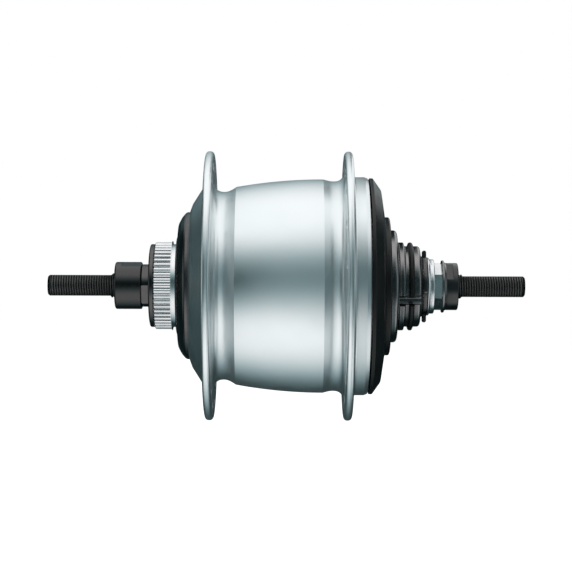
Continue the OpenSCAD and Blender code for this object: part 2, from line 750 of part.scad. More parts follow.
module return_spring() color("#b9bcbe") laid()
    tube(tube_out_r + 0.4, tube_out_r + 1.4, sleeve_step_z + 1.2, cone_in_z);

// A sector of angle degrees, centred on the direction at, between two heights
module sector(r, angle, at, z0, z1) {
    rotate(at - angle / 2) translate([0, 0, z0])
        rotate_extrude(angle = angle) square([r, z1 - z0]);
}

// The sleeve that opens and closes the sun gear pawls as the selector turns
module shift_sleeve() color("#b0a070") laid() {
    window = selector_turn + 46;
    window_at = pawl_angle + selector_turn / 2;
    difference() {
        union() {
            tube(sleeve_in_r, sleeve_out_r, left_plate_z0 + 0.6, sleeve_step_z + 0.8);
            tube(tube_in_r, sleeve_out_r, sleeve_step_z, sleeve_step_z + 0.8);
            tube(tube_in_r, tube_out_r, sleeve_step_z, tube_end_z);
        }
        for (z = pawl_mids)
            sector(sleeve_out_r + eps, window, window_at, z - pawl_w / 2 - 0.3, z + pawl_w / 2 + 0.3);
        rotate(key_angle) translate([tube_in_r - eps, -key_w / 2, key_z0 - 0.1])
            cube([tube_out_r, key_w, tube_end_z]);
    }
}

module selector_ring() color("#232425") laid() {
    ring_r = selector_d / 2;
    tab_w = 3;
    mark_z = selector_z + 0.3;
    difference() {
        union() {
            turned([
                [journal_r + run_gap, selector_z, 0], [ring_r, selector_z, 0.3],
                [ring_r, selector_z + selector_t, 0.5], [journal_r + run_gap, selector_z + selector_t, 0]]);
            for (a = [90, 270])
                rotate(a) translate([ring_r - 0.6, -tab_w / 2, selector_z])
                    cube([selector_tab_d / 2 - ring_r + 0.6, tab_w, selector_t - 0.1]);
        }
        sector(ring_r + eps, mark_angle, mark_at, mark_z, selector_z + selector_t + eps);
        translate([0, 0, selector_z - eps]) cylinder(r = journal_r + run_gap, h = selector_t + 2 * eps);
    }
    sector_ring(journal_r + 0.6, ring_r - 0.35, mark_angle + 1, mark_at,
        mark_z - 0.1, selector_z + selector_t);
    rotate(key_angle) translate([tube_in_r + 0.3, -key_w / 2 + 0.05, key_z0])
        cube([journal_r + 1 - tube_in_r, key_w - 0.1, key_len]);
}

module sector_ring(r_in, r_out, angle, at, z0, z1) {
    rotate(at - angle / 2) translate([0, 0, z0])
        rotate_extrude(angle = angle) translate([r_in, 0]) square([r_out - r_in, z1 - z0]);
}

module right_cone() color("#d5dadb") laid() {
    flange_out_r = right_cone_d / 2;
    window = selector_turn + 24;
    window_at = key_angle - selector_turn / 2;
    difference() {
        turned([
            [cone_bore_r, cone_in_z, 0], [cone_track_r, cone_in_z, 0.3], [cone_track_r, driver_ball_z, 0],
            [journal_r + 0.6, driver_ball_z, 0], [journal_r + 0.6, seal_end_z, 0],
            [journal_r, seal_end_z, 0], [journal_r, cone_flange_z, 0],
            [flange_out_r + 1, cone_flange_z, 0.25], [flange_out_r + 0.35, cone_flange_z + 0.8, 0.15],
            [flange_out_r - 0.25, cone_flange_z + 0.95, 0], [flange_out_r, cone_flange_z + 1.15, 0.2],
            [flange_out_r, cone_end_z, 0.5], [thread_r + thread_gap, cone_end_z, 0],
            [thread_r + thread_gap, cone_flange_z, 0], [cone_bore_r, cone_flange_z, 0]]);
        ball_track(driver_pitch_r, driver_ball_r + ball_gap, driver_ball_z);
        sector(journal_r + 0.3, window, window_at, key_z0 - 0.15, key_z0 + key_len + 0.15);
    }
}

module driver_seal() color("#1c1d1e") laid() {
    turned([
        [journal_r + 0.6, seal_z, 0], [driver_cup_r - 0.2, seal_z, 0],
        [driver_cup_r - 0.2, driver_end_z, 0], [selector_d / 2, driver_end_z, 0],
        [selector_d / 2, seal_end_z, 0.2], [journal_r + 0.6, seal_end_z, 0]]);
}

module cone_hex_nut() color("#e2e6e7") laid() {
    corner_r = hex_af / 2 / cos(30);
    intersection() {
        difference() {
            rotate(hex_nut_turn) translate([0, 0, cone_end_z])
                cylinder(r = corner_r, h = washer_z - cone_end_z, $fn = 6);
            translate([0, 0, cone_end_z - eps]) cylinder(r = thread_r + thread_gap, h = washer_z);
        }
        turned([
            [0, cone_end_z, 0], [corner_r + 0.1, cone_end_z, 0],
            [corner_r + 0.1, washer_z - 0.35, 0], [corner_r - 0.5, washer_z, 0], [0, washer_z, 0]]);
    }
}

module lock_washer() color("#202122") laid() {
    turned([
        [thread_r + thread_gap, washer_z, 0], [washer_d / 2, washer_z, 0.3],
        [washer_d / 2, washer_z + washer_rim_t, 0.3], [nut_d / 2 + 0.3, washer_z + washer_rim_t, 0.1],
        [nut_d / 2, right_nut_in_z, 0], [thread_r + thread_gap, right_nut_in_z, 0]]);
}

module right_locknut() color("#1d1e1f") laid() {
    nut_r = nut_d / 2;
    difference() {
        turned([
            [thread_r + thread_gap, right_nut_in_z, 0], [nut_r, right_nut_in_z, 0.3],
            [nut_r, right_face_z, 0.5], [thread_r + thread_gap, right_face_z, 0]]);
        wrench_flats(right_nut_af, right_nut_in_z - eps, right_face_z - right_collar_len, right_nut_turn);
    }
}

// The part of the shell's drive that the rollers of the step-up clutch lock to
module clutch_liner() color("#8d9092") laid()
    tube(liner_in_r, barrel_bore_r, roller_z0 - 0.8, roller_z0 + roller_len + 0.8);

module ring_gear_b() color("#7d8284") laid() {
    difference() {
        union() {
            tube(ring_b_tip_r - 1, ring_b_out_r, ring_b_web_z1 - 0.1, b2_z0 - mesh_gap);
            tube(carrier_hub_r + run_gap, ring_b_out_r, ring_b_web_z0, ring_b_web_z1);
        }
        ring_space(ring_b_teeth, 0, ring_b_web_z1, b2_z0);
    }
}

module roller_row(pitch_r, r, z0, z1) {
    for (k = [0 : roller_count - 1])
        rotate(360 / roller_count * k) translate([pitch_r, 0, z0]) cylinder(r = r, h = z1 - z0);
}

module clutch_rollers() color("#c8ccce") laid()
    roller_row(roller_pitch_r, roller_r, roller_z0, roller_z0 + roller_len);

module clutch_cage() color("#8f7b4a") laid() {
    difference() {
        tube(roller_pitch_r - 0.9, roller_pitch_r + 0.9, roller_z0 - 0.6, roller_z0 + roller_len + 0.6);
        roller_row(roller_pitch_r, roller_r + run_gap, roller_z0 - 0.02, roller_z0 + roller_len + 0.02);
    }
}

// Holes for the planet pins of one stage
module pin_holes(z0, z1) {
    for (k = [0 : planet_count - 1])
        rotate(360 / planet_count * k) translate([centre_r, 0, z0 - eps])
            cylinder(r = pin_r, h = z1 - z0 + 2 * eps);
}

module pin_row(z0, z1) {
    for (k = [0 : planet_count - 1])
        rotate(360 / planet_count * k) translate([centre_r, 0, z0]) cylinder(r = pin_r, h = z1 - z0);
}

module pillars(z0, z1) {
    for (k = [0 : planet_count - 1])
        sector_ring(pillar_in_r, pillar_out_r, pillar_angle, 360 / planet_count * (k + 0.5), z0, z1);
}

module carrier_left() color("#8b9092") laid() {
    difference() {
        union() {
            tube(carrier_bore_r, carrier_hub_r, low_z0, left_plate_z0 + plate_t);
            tube(carrier_bore_r, carrier_out_r, left_plate_z0, left_plate_z0 + plate_t);
        }
        pin_holes(left_plate_z0, left_plate_z0 + plate_t);
    }
}

module carrier_middle() color("#8b9092") laid() {
    difference() {
        union() {
            tube(carrier_bore_r, carrier_out_r, mid_plate_z0, mid_plate_z1);
            pillars(left_plate_z0 + plate_t, mid_plate_z0 + eps);
        }
        pin_holes(mid_plate_z0, mid_plate_z1);
    }
}

module carrier_right() color("#8b9092") laid() {
    difference() {
        union() {
            tube(carrier_bore_r, carrier_out_r, right_plate_z0, right_plate_z1);
            pillars(mid_plate_z1, right_plate_z0 + eps);
        }
        pin_holes(right_plate_z0, right_plate_z1);
    }
}

module planet_pins_a() color("#c8ccce") laid() pin_row(mid_plate_z0 + plate_t / 2, right_plate_z1);

module planet_pins_b() color("#c8ccce") laid() pin_row(left_plate_z0, mid_plate_z0 + plate_t / 2);

module pin_retaining_ring() color("#b9bcbe") laid()
    tube(centre_r - 1.4, centre_r + 1.4, right_plate_z1, right_plate_z1 + 0.5);

module low_clutch_cam() color("#8d9092") laid() {
    difference() {
        tube(carrier_hub_r, low_cam_r + 0.9, low_z0, low_z1);
        roller_row(low_roller_pitch_r, low_roller_r + run_gap, low_z0 - eps, low_z1 + eps);
    }
}

module low_clutch_rollers() color("#c8ccce") laid()
    roller_row(low_roller_pitch_r, low_roller_r, low_z0 + 1.2, low_z0 + 1.2 + low_roller_len);

module low_clutch_cage() color("#8f7b4a") laid() {
    difference() {
        tube(low_cam_r + 1, low_roller_pitch_r + 1, low_z0, low_z1);
        roller_row(low_roller_pitch_r, low_roller_r + run_gap, low_z0 + 1.2 - 0.02, low_z1 - 1.2 + 0.02);
    }
}

// A planet stands at its own place round the axle, with a gap between its
// teeth facing the sun gear
module planet_at(k) {
    rotate(360 / planet_count * k) translate([centre_r, 0, 0]) children();
}

function facing_gap(teeth) = 180 + 180 / teeth;

module planet_bore(z0, z1) {
    translate([0, 0, z0 - eps]) cylinder(r = pin_r + run_gap, h = z1 - z0 + 2 * eps);
}

module planet_a(k) color("#888d8f") laid() planet_at(k) {
    difference() {
        union() {
            gear_blank(planet_a_teeth, facing_gap(planet_a_teeth), a_sun_z0, a_ring_z0 + eps);
            gear_blank(planet_ring_teeth, facing_gap(planet_ring_teeth), a_ring_z0, a_ring_z1);
        }
        planet_bore(a_sun_z0, a_ring_z1);
    }
}

module planet_b(k) color("#888d8f") laid() planet_at(k) {
    difference() {
        union() {
            gear_blank(planet_b3_teeth, facing_gap(planet_b3_teeth), b3_z0, b2_z0 + eps);
            gear_blank(planet_b2_teeth, facing_gap(planet_b2_teeth), b2_z0, b1_z0 + eps);
            gear_blank(planet_b1_teeth, facing_gap(planet_b1_teeth), b1_z0, b1_z1);
        }
        planet_bore(b3_z0, b1_z1);
    }
}

module ring_gear_a() color("#7d8284") laid() {
    difference() {
        union() {
            tube(ring_a_tip_r - 1, ring_a_out_r, a_ring_z0 + 0.1, ring_a_end_z);
            tube(ring_a_tip_r - 1, ring_a_shoulder_r, right_ball_z, ring_a_end_z);
        }
        ring_space(ring_a_teeth, 180 / ring_a_teeth, a_ring_z0, right_plate_z0);
        translate([0, 0, right_plate_z0 - 0.1]) cylinder(r = ring_a_tip_r, h = ring_a_end_z);
        ball_track(right_pitch_r, right_ball_r + ball_gap, right_ball_z);
        for (k = [0 : 17])
            rotate(20 * k) translate([0, -1.6, driver_in_z])
                cube([ratchet_r, 3.2, ring_a_end_z]);
    }
}

module driver_pawl(a, grow) {
    rotate(a) translate([driver_flange_r - 4 - grow, -1.4 - grow, driver_in_z + 0.4 - grow])
        cube([ratchet_r - driver_flange_r + 3.8 + grow, 2.8 + 2 * grow, 2 + 2 * grow]);
}

module driver_pawls() color("#8d9092") laid() {
    difference() {
        for (a = [0, 180])
            driver_pawl(a, 0);
        ball_track(driver_flange_r - 0.4, 0.35, driver_in_z + 1.4);
    }
}

module driver_pawl_spring() color("#b9bcbe") laid()
    rotate(20) rotate_extrude(angle = 320)
        translate([driver_flange_r - 0.4, driver_in_z + 1.4]) circle(r = 0.3);

module driver() color("#2a2b2c") laid() {
    shoulder_gap = 0.4;
    difference() {
        turned([
            [driver_bore_r, driver_in_z, 0], [driver_flange_r, driver_in_z, 0.3],
            [driver_flange_r, driver_flange_z, 0], [driver_seat_r, driver_flange_z, 0],
            [driver_seat_r, sprocket_z, 0], [driver_nose_r, sprocket_z, 0], [driver_nose_r, rib1_z, 0],
            [driver_r, rib1_z, 0.5], [driver_r, rib1_z + rib_w, 0.5],
            [driver_nose_r, rib1_z + rib_w + shoulder_gap, 0.3],
            [driver_nose_r, rib2_z - shoulder_gap, 0.3],
            [driver_r, rib2_z + 0.3, 0.7], [driver_r, rib2_z + rib_w - 0.6, 0.7],
            [driver_nose_r, nose_z, 0.3], [driver_nose_r, driver_end_z, 1.1], [driver_cup_r, driver_end_z, 0],
            [driver_cup_r, driver_ball_z, 0], [driver_bore_r, driver_ball_z, 0]]);
        ball_track(driver_pitch_r, driver_ball_r + ball_gap, driver_ball_z);
        for (k = [0 : slot_count - 1])
            rotate(slot_at + 360 / slot_count * k)
                translate([driver_nose_r - 0.45, -slot_w / 2, rib1_z - 0.1])
                    cube([driver_r, slot_w, driver_end_z]);
        for (a = [0, 180])
            driver_pawl(a, 0.02);
        ball_track(driver_flange_r - 0.4, 0.35, driver_in_z + 1.4);
    }
}

module driver_snap_ring() color("#b9bcbe") laid()
    tube(driver_seat_r, driver_seat_r + 1.6, driver_flange_z, driver_flange_z + 0.5);

module right_dust_cap() color("#17181a") laid() {
    cap_r = right_cap_d / 2;
    cap_t = 1.6;
    shoulder_r = cap_r - 4.4;
    back_z = driver_flange_z + 0.8;
    turned([
        [driver_seat_r, back_z, 0], [ring_a_shoulder_r + 0.2, back_z, 0],
        [cap_r - 2.4, cap_lip_z + cap_t, 0.5], [cap_r - 2.4, cap_lip_z, 0.3],
        [cap_r, cap_lip_z, 0.3], [cap_r, cap_lip_z + 1.3, 0.6], [shoulder_r, cap_face_z - 1.5, 0.9],
        [cap_boss_d / 2 + 0.8, cap_face_z, 0.4], [cap_boss_d / 2, cap_face_z + 0.1, 0.1],
        [cap_boss_d / 2, cap_boss_z, 0.7], [driver_seat_r, cap_boss_z, 0]]);
}

module sprocket_ring() color("#1e1f20") laid() {
    turned([
        [driver_seat_r, cap_boss_z, 0], [sprocket_ring_d / 2, cap_boss_z, 0],
        [sprocket_ring_d / 2, sprocket_z, 1.3], [driver_seat_r, sprocket_z, 0]]);
}

hub_axle();
left_locknut();
left_cone();
left_cone_disc();
left_ball_retainer();
left_balls();
right_cone();
cone_hex_nut();
lock_washer();
right_locknut();
driver_seal();
driver_balls();
driver_ball_retainer();
right_balls();
right_ball_retainer();
sun_gear_a();
sun_gear_b1();
sun_gear_b2();
sun_gear_b3();
sun_pawls();
pawl_springs();
thrust_washers();
return_spring();
selector_ring();
shift_sleeve();
hub_shell();
brake_spline();
left_seal();
left_dust_cap();
left_cup();
right_cup();
clutch_liner();
ring_gear_b();
clutch_rollers();
clutch_cage();
carrier_left();
carrier_middle();
carrier_right();
planet_pins_a();
planet_pins_b();
low_clutch_cam();
low_clutch_rollers();
low_clutch_cage();
pin_retaining_ring();
planet_a(0);  // planet_a_1
planet_a(1);  // planet_a_2
planet_a(2);  // planet_a_3
planet_b(0);  // planet_b_1
planet_b(1);  // planet_b_2
planet_b(2);  // planet_b_3
driver();
ring_gear_a();
driver_pawls();
driver_pawl_spring();
driver_snap_ring();
right_dust_cap();
sprocket_ring();
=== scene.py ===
"""Internal gear hub for the rear wheel of a bicycle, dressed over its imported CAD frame.

Sizes are in millimetres and angles in degrees, unless a comment says otherwise.
Places are along the axle, from the brake side at the left of the view to the
drive side at the right. The axle lies on Y and the drive side is at -Y. An
angle of 180 degrees about the axle faces the camera, and 90 is up.
"""

import json
import math
from types import SimpleNamespace

import bmesh
import bpy
from mathutils import Euler, Matrix, Vector


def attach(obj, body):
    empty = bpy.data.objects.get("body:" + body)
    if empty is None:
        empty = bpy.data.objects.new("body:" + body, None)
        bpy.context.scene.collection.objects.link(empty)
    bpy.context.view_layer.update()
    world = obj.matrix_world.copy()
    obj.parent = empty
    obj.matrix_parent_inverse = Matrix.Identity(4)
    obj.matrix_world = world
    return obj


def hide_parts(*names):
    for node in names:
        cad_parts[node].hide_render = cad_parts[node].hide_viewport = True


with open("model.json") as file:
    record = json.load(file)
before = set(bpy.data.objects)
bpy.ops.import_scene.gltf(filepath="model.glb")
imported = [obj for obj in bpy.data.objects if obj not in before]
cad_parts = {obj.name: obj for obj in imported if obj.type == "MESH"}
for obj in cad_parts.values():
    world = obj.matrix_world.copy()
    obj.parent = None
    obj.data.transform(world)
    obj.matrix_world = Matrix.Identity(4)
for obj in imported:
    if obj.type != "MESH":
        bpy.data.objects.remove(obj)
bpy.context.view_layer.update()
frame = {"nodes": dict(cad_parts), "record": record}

# One millimetre in metres
MM = 0.001

# Camera, whose distance and shift are in metres
CAMERA_DISTANCE = 0.760
CAMERA_LENS = 123.7
CAMERA_SHIFT = 0.00015
CAMERA_ROLL = 0.20

# Fineness of the turned pieces
FILLET_STEPS = 10
COLUMNS = 288
FINE_COLUMNS = 360
SHARP_ANGLE = 12

# Half angle of a corner, in radians, from which it counts as straight
STRAIGHT = 1.55

# Points closer than this become one, in metres
MERGE = 1e-8

# Step between the last point outside a zone and the first point in it
ZONE_STEP = 0.05

# Fillets that several edges share
HAIR_EDGE = 0.05
FINE_EDGE = 0.2
EDGE = 0.3
SOFT_EDGE = 0.5

# Ball tracks, with their first and last angle from straight out
TRACK_GAP = 0.04
TRACK_STEPS = 10
LEFT_CONE_TRACK = (225.4, 180)
DRIVER_TRACK = (0, -78.6)
RIGHT_CONE_TRACK = (180, 119.6)

# Axle and its thread
BORE_R = 4.8
THREAD_R = 4.76
THREAD_ROOT_R = 4.34
THREAD_PITCH = 0.977
THREAD_START = 55
THREAD_CHAMFER = 1.3
THREAD_COLUMNS = 144
THREAD_SHARP_ANGLE = 40
STEM_SHARP_ANGLE = 30
AXLE_FLAT = 4
FLAT_START = 67.6

# Crest of the thread: the drop to its sides, and the parts of the pitch at which its rows lie
CREST_DROP = 0.07
CREST_PARTS = (0.40, 0.50, 0.60)

# Points of the thread closer than this become one, in metres
THREAD_MERGE = 2e-6

# Lock nuts
LEFT_NUT_FLATS = 17.4
LEFT_NUT_TURN = 109
LEFT_NUT_EDGE = 0.8
LEFT_COLLAR = 2.6
RIGHT_NUT_FLATS = 16.3
RIGHT_NUT_TURN = 135.5
RIGHT_COLLAR = 2
NUT_BEVEL = 0.8
NUT_TEETH = 36
NUT_TEETH_START = 1.2
NUT_TEETH_INSET = 1
NUT_TOOTH_DEPTH = 0.22

# Angle from the middle of a flat from which it no longer limits a point
FLAT_REACH = 89

# Brake side cone and its disc
LEFT_CONE_FLATS = 14.3
LEFT_CONE_TURN = 29
LEFT_CONE_EDGE = 0.35
LEFT_CONE_NOSE = 0.72
LEFT_CONE_NOSE_EDGE = 0.4
DISC_LAP = 0.4
DISC_FACE_INSET = 1.1
DISC_RIM_INSET = 0.9
DISC_STEP = 0.15
DISC_EDGE = 0.6

# Brake spline, whose tooth half, flank and gap step are angles, and the bright neck behind it
SPLINE_TEETH = 50
SPLINE_TIP_R = 16.8
SPLINE_BORE_R = 14.9
SPLINE_DEPTH = 1.3
SPLINE_CROWN = 0.33
SPLINE_CROWN_STEPS = 6
SPLINE_GAP = 0.15
SPLINE_MOUTH = 0.3
SPLINE_TIP_INSET = 0.5
SPLINE_TIP_BEVEL = 0.3
SPLINE_TIP_EDGE = 0.1
TOOTH_HALF = 2.55
TOOTH_FLANK = 0.25
TOOTH_GAP_STEP = 0.2
LIP_T = 0.2
LIP_INSET = 0.05
LIP_STEP = 0.02
NECK_R = 16
NECK_SLEEVE = 0.4
SEAL_SETBACK = 0.4

# Left dust cap
LEFT_CAP_FRONT_INSET = 4.4
LEFT_CAP_FRONT_EDGE = 1
LEFT_CAP_DOME_INSET = 1.9
LEFT_CAP_DOME_STEP = 1.3
LEFT_CAP_DOME_EDGE = 1.6
LEFT_CAP_BACK_INSET = 0.4
LEFT_CAP_BACK_STEP = 1.6
LEFT_CAP_BACK_EDGE = 0.8
LEFT_CAP_LAND = 0.9

# Flanges
FLANGE_T = 2.9
RIM_BEAD = 0.12
RIM_EDGE = 1.4
BEAD_INSET = 3.2
BEAD_EDGE = 0.6
BEAD_FOOT_INSET = 4
BEAD_FOOT_EDGE = 1

# Outside of the shell: the dish behind the left dust cap, the waist, the barrel, the valley and the band
DISH_FOOT = 3.3
DISH_FOOT_STEP = 1.2
DISH_FOOT_EDGE = 3
DISH_TOP = 11.2
DISH_TOP_EDGE = 2.6
WAIST_R = 36.2
WAIST_PLACE = -23.4
WAIST_START_RISE = 0.6
WAIST_START_EDGE = 3.6
WAIST_DROP = 0.1
WAIST_EDGE = 5
WAIST_END_RISE = 0.8
WAIST_END_STEP = 2.2
WAIST_END_EDGE = 7
SHOULDER_R = 38.2
SHOULDER_PLACE = -19.3
CROWN_R = 41.2
CROWN_PLACE = 14
BARREL_STEPS = 30
VALLEY_R = 40.35
VALLEY_STEP = 3.3
VALLEY_EDGE = 8
VALLEY_END_RISE = 0.4
VALLEY_END_EDGE = 3.4
BAND_R = 42.1
BAND_START_EDGE = 1.2
BAND_BEVEL = 0.5
BAND_BEVEL_STEP = 1.3

# Inside of the shell, from its mouth to the brake side
MOUTH_BORE_R = 37.2
MIDDLE_BORE_R = 36.3
WAIST_BORE_R = 33.9
DISH_BORE_R = 27.4
WALL_BORE_R = 11.32
WALL_T = 3
MIDDLE_STEP = 2
WAIST_BORE_STEP = 2.2
WAIST_BORE_END = 0.6
LEFT_FLANGE_INSET = 0.95
BORE_EDGE = 1
DISH_BORE_EDGE = 1.5

# Spoke holes, with the reach of each hole and its bevels from the middle of the flange
HOLE_SIDES = 28
HOLE_BEVEL = 1
HOLE_STRAIGHT = 1.1
HOLE_REACH = 2.4

# Right dust cap
BOSS_R = 26.7
BOSS_H = 2
BOSS_EDGE = 0.7
BOSS_ROOT_STEP = 0.1
BOSS_ROOT_EDGE = 0.1
BOSS_ROOT_INSET = 0.8
CAP_FLOOR_GAP = 0.8
CAP_FLOOR_INSET = 7.72
SKIRT_T = 2.4
SKIRT_DEPTH = 1.6
SKIRT_LAND = 1.3
SKIRT_EDGE = 0.6
CAP_BEVEL_INSET = 4.4
CAP_BEVEL_H = 1.5
CAP_BEVEL_EDGE = 0.9
CAP_FACE_EDGE = 0.4

# Driver
SPROCKET_RING_EDGE = 1.3
DRIVER_SEAT_R = 17.5
DRIVER_NOSE_R = 15.55
DRIVER_NOSE_EDGE = 1.1
DRIVER_RIB_R = 17
DRIVER_BORE_R = 11
DRIVER_BORE_STEP = 1
DRIVER_FLANGE_T = 2.8
DRIVER_SEAL_FIT = 0.225
RIB_GAP = 0.5
RIB_T = 2.1
RIB_SLOPE = 0.4
RING_GAP = 1.5
RING_T = 2.3
RING_FOOT = 0.1
RING_FOOT_STEP = 0.5
RING_EDGE = 0.75
RING_DIP = 0.2
SLOT_AT = 79.5
SLOT_SPACING = 120
SLOT_WIDTH = 4.2
SLOT_FLOOR_R = 13.6
SLOT_RISE = 1.2

# Angle from a slot's edge to the column on each side of it
SLOT_SIDE = 0.02

# Selector ring and the lip in the mouth of the driver
SELECTOR_R = 11.7
SELECTOR_FRONT_EDGE = 0.15
SELECTOR_LAND = 0.3
SELECTOR_MARK = (158, 192)
SELECTOR_MARK_DEPTH = 0.35
SELECTOR_MARK_SLOPE = 1.7
SELECTOR_MARK_STEPS = 4
TAB_WIDTH = 3
TAB_CLEARANCE = 0.1
TAB_ROOT = 0.5
TAB_LAND = 0.02
TAB_STEP = 15
TAB_BEVEL = 0.25
TAB_BEVEL_STEPS = 4
TAB_BEVEL_ANGLE = 50
TAB_SHARP_ANGLE = 40
JOURNAL_R = 9.05
JOURNAL_GAP = 0.05
SEAL_BORE_GAP = 0.55

# Drive side cone, with its collar and flange
CONE_NOSE_R = 7.15
CONE_FOOT = 0.6
CONE_FLANGE_T = 2.65
CONE_FLANGE_R = 10.5
COLLAR_OUT = 1
COLLAR_EDGE = 0.25
COLLAR_TOP_OUT = 0.35
COLLAR_TOP_STEP = 0.8
COLLAR_TOP_EDGE = 0.15
GROOVE_DEPTH = 0.25
GROOVE_STEP = 0.95
GROOVE_END_STEP = 1.15

# Nut that locks the drive side cone, and the washer beside it
HEX_SIDES = 6
HEX_FLATS = 15.7
HEX_EDGE = 0.15
HEX_CHAMFER = 0.5
HEX_CHAMFER_H = 0.35
WASHER_RIM_T = 0.9
WASHER_STEP = 0.3
WASHER_STEP_EDGE = 0.1


# Places of the frame


def span(node_name):
    """Where a node of the frame starts and ends along the axle, and how far out it reaches."""
    points = [vertex.co / MM for vertex in frame["nodes"][node_name].data.vertices]
    start = min(-point.y for point in points)
    end = max(-point.y for point in points)
    radius = max(math.hypot(point.x, point.z) for point in points)
    return SimpleNamespace(start=start, end=end, radius=radius)


def track(node_name, first, last):
    """The arc of the track that a row of balls runs in, between two angles from straight out."""
    balls = span(node_name)
    middle = (balls.start + balls.end) / 2
    ball_r = (balls.end - balls.start) / 2
    reach = ball_r + TRACK_GAP
    arc = []
    for k in range(TRACK_STEPS + 1):
        turn = math.radians(first + (last - first) * k / TRACK_STEPS)
        arc.append((balls.radius - ball_r + reach * math.cos(turn), middle + reach * math.sin(turn), 0))
    return arc


axle = span("hub_axle")
left_nut = span("left_locknut")
left_cone = span("left_cone")
disc = span("left_cone_disc")
spline = span("brake_spline")
left_seal = span("left_seal")
left_cap = span("left_dust_cap")
left_cup = span("left_cup")
shell = span("hub_shell")
right_cup = span("right_cup")
right_cap = span("right_dust_cap")
sprocket_ring = span("sprocket_ring")
driver = span("driver")
driver_seal = span("driver_seal")
selector = span("selector_ring")
right_cone = span("right_cone")
hex_nut = span("cone_hex_nut")
washer = span("lock_washer")
right_nut = span("right_locknut")

MOUNTS = {mount["name"]: mount for mount in frame["record"]["mounts"]}


# Materials

# Detail of the noises for patches and smudges, and how much finer the smudges are
PATCH_DETAIL = 4
SMUDGE_DETAIL = 3
SMUDGE_RATIO = 2.3

# Scale of the noise across the turning rings, and the depth of every bump in metres
RING_SCALE = 5200
BUMP_DEPTH = 0.00004

# Values of a noise between which its middle lies
NOISE_LOW = 0.3
NOISE_HIGH = 0.7

# Each finish drifts between a light and a dark colour, and between two values of roughness. The
# patch is the scale of that drift. The rings and the grain are the strengths of two bumps. The
# colours of a threaded finish follow the depth of the thread instead: painted shade in the roots and a
# painted highlight along the crests.
FINISHES = {
    "shell_silver": {
        "light": (0.79, 0.83, 0.84), "dark": (0.75, 0.80, 0.81), "metallic": 1.0,
        "rough": (0.29, 0.35), "patch": 40, "rings": 0.05, "grain": 0.12, "grain_scale": 4200},
    "bright_steel": {
        "light": (0.84, 0.85, 0.86), "dark": (0.74, 0.76, 0.77), "metallic": 1.0,
        "rough": (0.14, 0.24), "patch": 180, "rings": 0.16, "grain": 0.05, "grain_scale": 5000},
    "spline_steel": {
        "light": (0.82, 0.83, 0.84), "dark": (0.76, 0.77, 0.78), "metallic": 0.85,
        "rough": (0.14, 0.20), "patch": 220, "rings": 0.06, "grain": 0.03, "grain_scale": 5200},
    "zinc_steel": {
        "light": (0.72, 0.74, 0.75), "dark": (0.60, 0.63, 0.64), "metallic": 1.0,
        "rough": (0.22, 0.34), "patch": 220, "rings": 0.18, "grain": 0.08, "grain_scale": 4200},
    "black_steel": {
        "light": (0.27, 0.262, 0.262), "dark": (0.23, 0.223, 0.223), "metallic": 1.0,
        "rough": (0.14, 0.20), "patch": 260, "rings": 0.10, "grain": 0.04, "grain_scale": 3600},
    "satin_black": {
        "light": (0.115, 0.111, 0.111), "dark": (0.095, 0.092, 0.092), "metallic": 1.0,
        "rough": (0.15, 0.21), "patch": 260, "rings": 0.10, "grain": 0.04, "grain_scale": 3600},
    "oiled_black": {
        "light": (0.003, 0.003, 0.0033), "dark": (0.002, 0.002, 0.0022), "metallic": 0.0, "shine": 0.8,
        "rough": (0.18, 0.26), "patch": 300, "rings": 0.06, "grain": 0.12, "grain_scale": 4200},
    # Dark steel of the axle, with painted shade in its thread's roots and a painted highlight on its
    # crests
    "dark_steel": {
        "light": (0.17, 0.168, 0.165), "dark": (0.012, 0.012, 0.012), "metallic": 0.9, "painted_thread_shade": True,
        "rough": (0.26, 0.40), "patch": 320, "rings": 0.0, "grain": 0.14, "grain_scale": 3800},
    "black_plastic": {
        "light": (0.0045, 0.0055, 0.0055), "dark": (0.003, 0.004, 0.004), "metallic": 0.0, "shine": 0.4,
        "rough": (0.26, 0.36), "patch": 90, "rings": 0.04, "grain": 0.08, "grain_scale": 2600},
    "black_rubber": {
        "light": (0.004, 0.0045, 0.0045), "dark": (0.002, 0.0025, 0.0025), "metallic": 0.0, "shine": 0.3,
        "rough": (0.30, 0.42), "patch": 120, "rings": 0.06, "grain": 0.16, "grain_scale": 2200},
    "gear_steel": {
        "light": (0.50, 0.51, 0.52), "dark": (0.38, 0.39, 0.40), "metallic": 1.0,
        "rough": (0.26, 0.38), "patch": 240, "rings": 0.14, "grain": 0.12, "grain_scale": 3400},
    "carrier_steel": {
        "light": (0.42, 0.43, 0.44), "dark": (0.30, 0.31, 0.32), "metallic": 1.0,
        "rough": (0.34, 0.46), "patch": 160, "rings": 0.18, "grain": 0.14, "grain_scale": 3000},
    "ball_steel": {
        "light": (0.86, 0.87, 0.88), "dark": (0.80, 0.81, 0.82), "metallic": 1.0,
        "rough": (0.06, 0.12), "patch": 300, "rings": 0.0, "grain": 0.03, "grain_scale": 6000},
    "cage_steel": {
        "light": (0.52, 0.45, 0.30), "dark": (0.40, 0.34, 0.22), "metallic": 1.0,
        "rough": (0.30, 0.42), "patch": 200, "rings": 0.10, "grain": 0.12, "grain_scale": 3200},
}


def cleared_tree(block):
    """The node tree of a material or a world, without the nodes that it starts with."""
    block.use_nodes = True
    block.node_tree.nodes.clear()
    return block.node_tree


def new_material(name):
    material = bpy.data.materials.new(name)
    tree = cleared_tree(material)
    output = tree.nodes.new("ShaderNodeOutputMaterial")
    shader = tree.nodes.new("ShaderNodeBsdfPrincipled")
    tree.links.new(shader.outputs["BSDF"], output.inputs["Surface"])
    return material, tree, shader


def object_place(tree):
    return tree.nodes.new("ShaderNodeTexCoord").outputs["Object"]


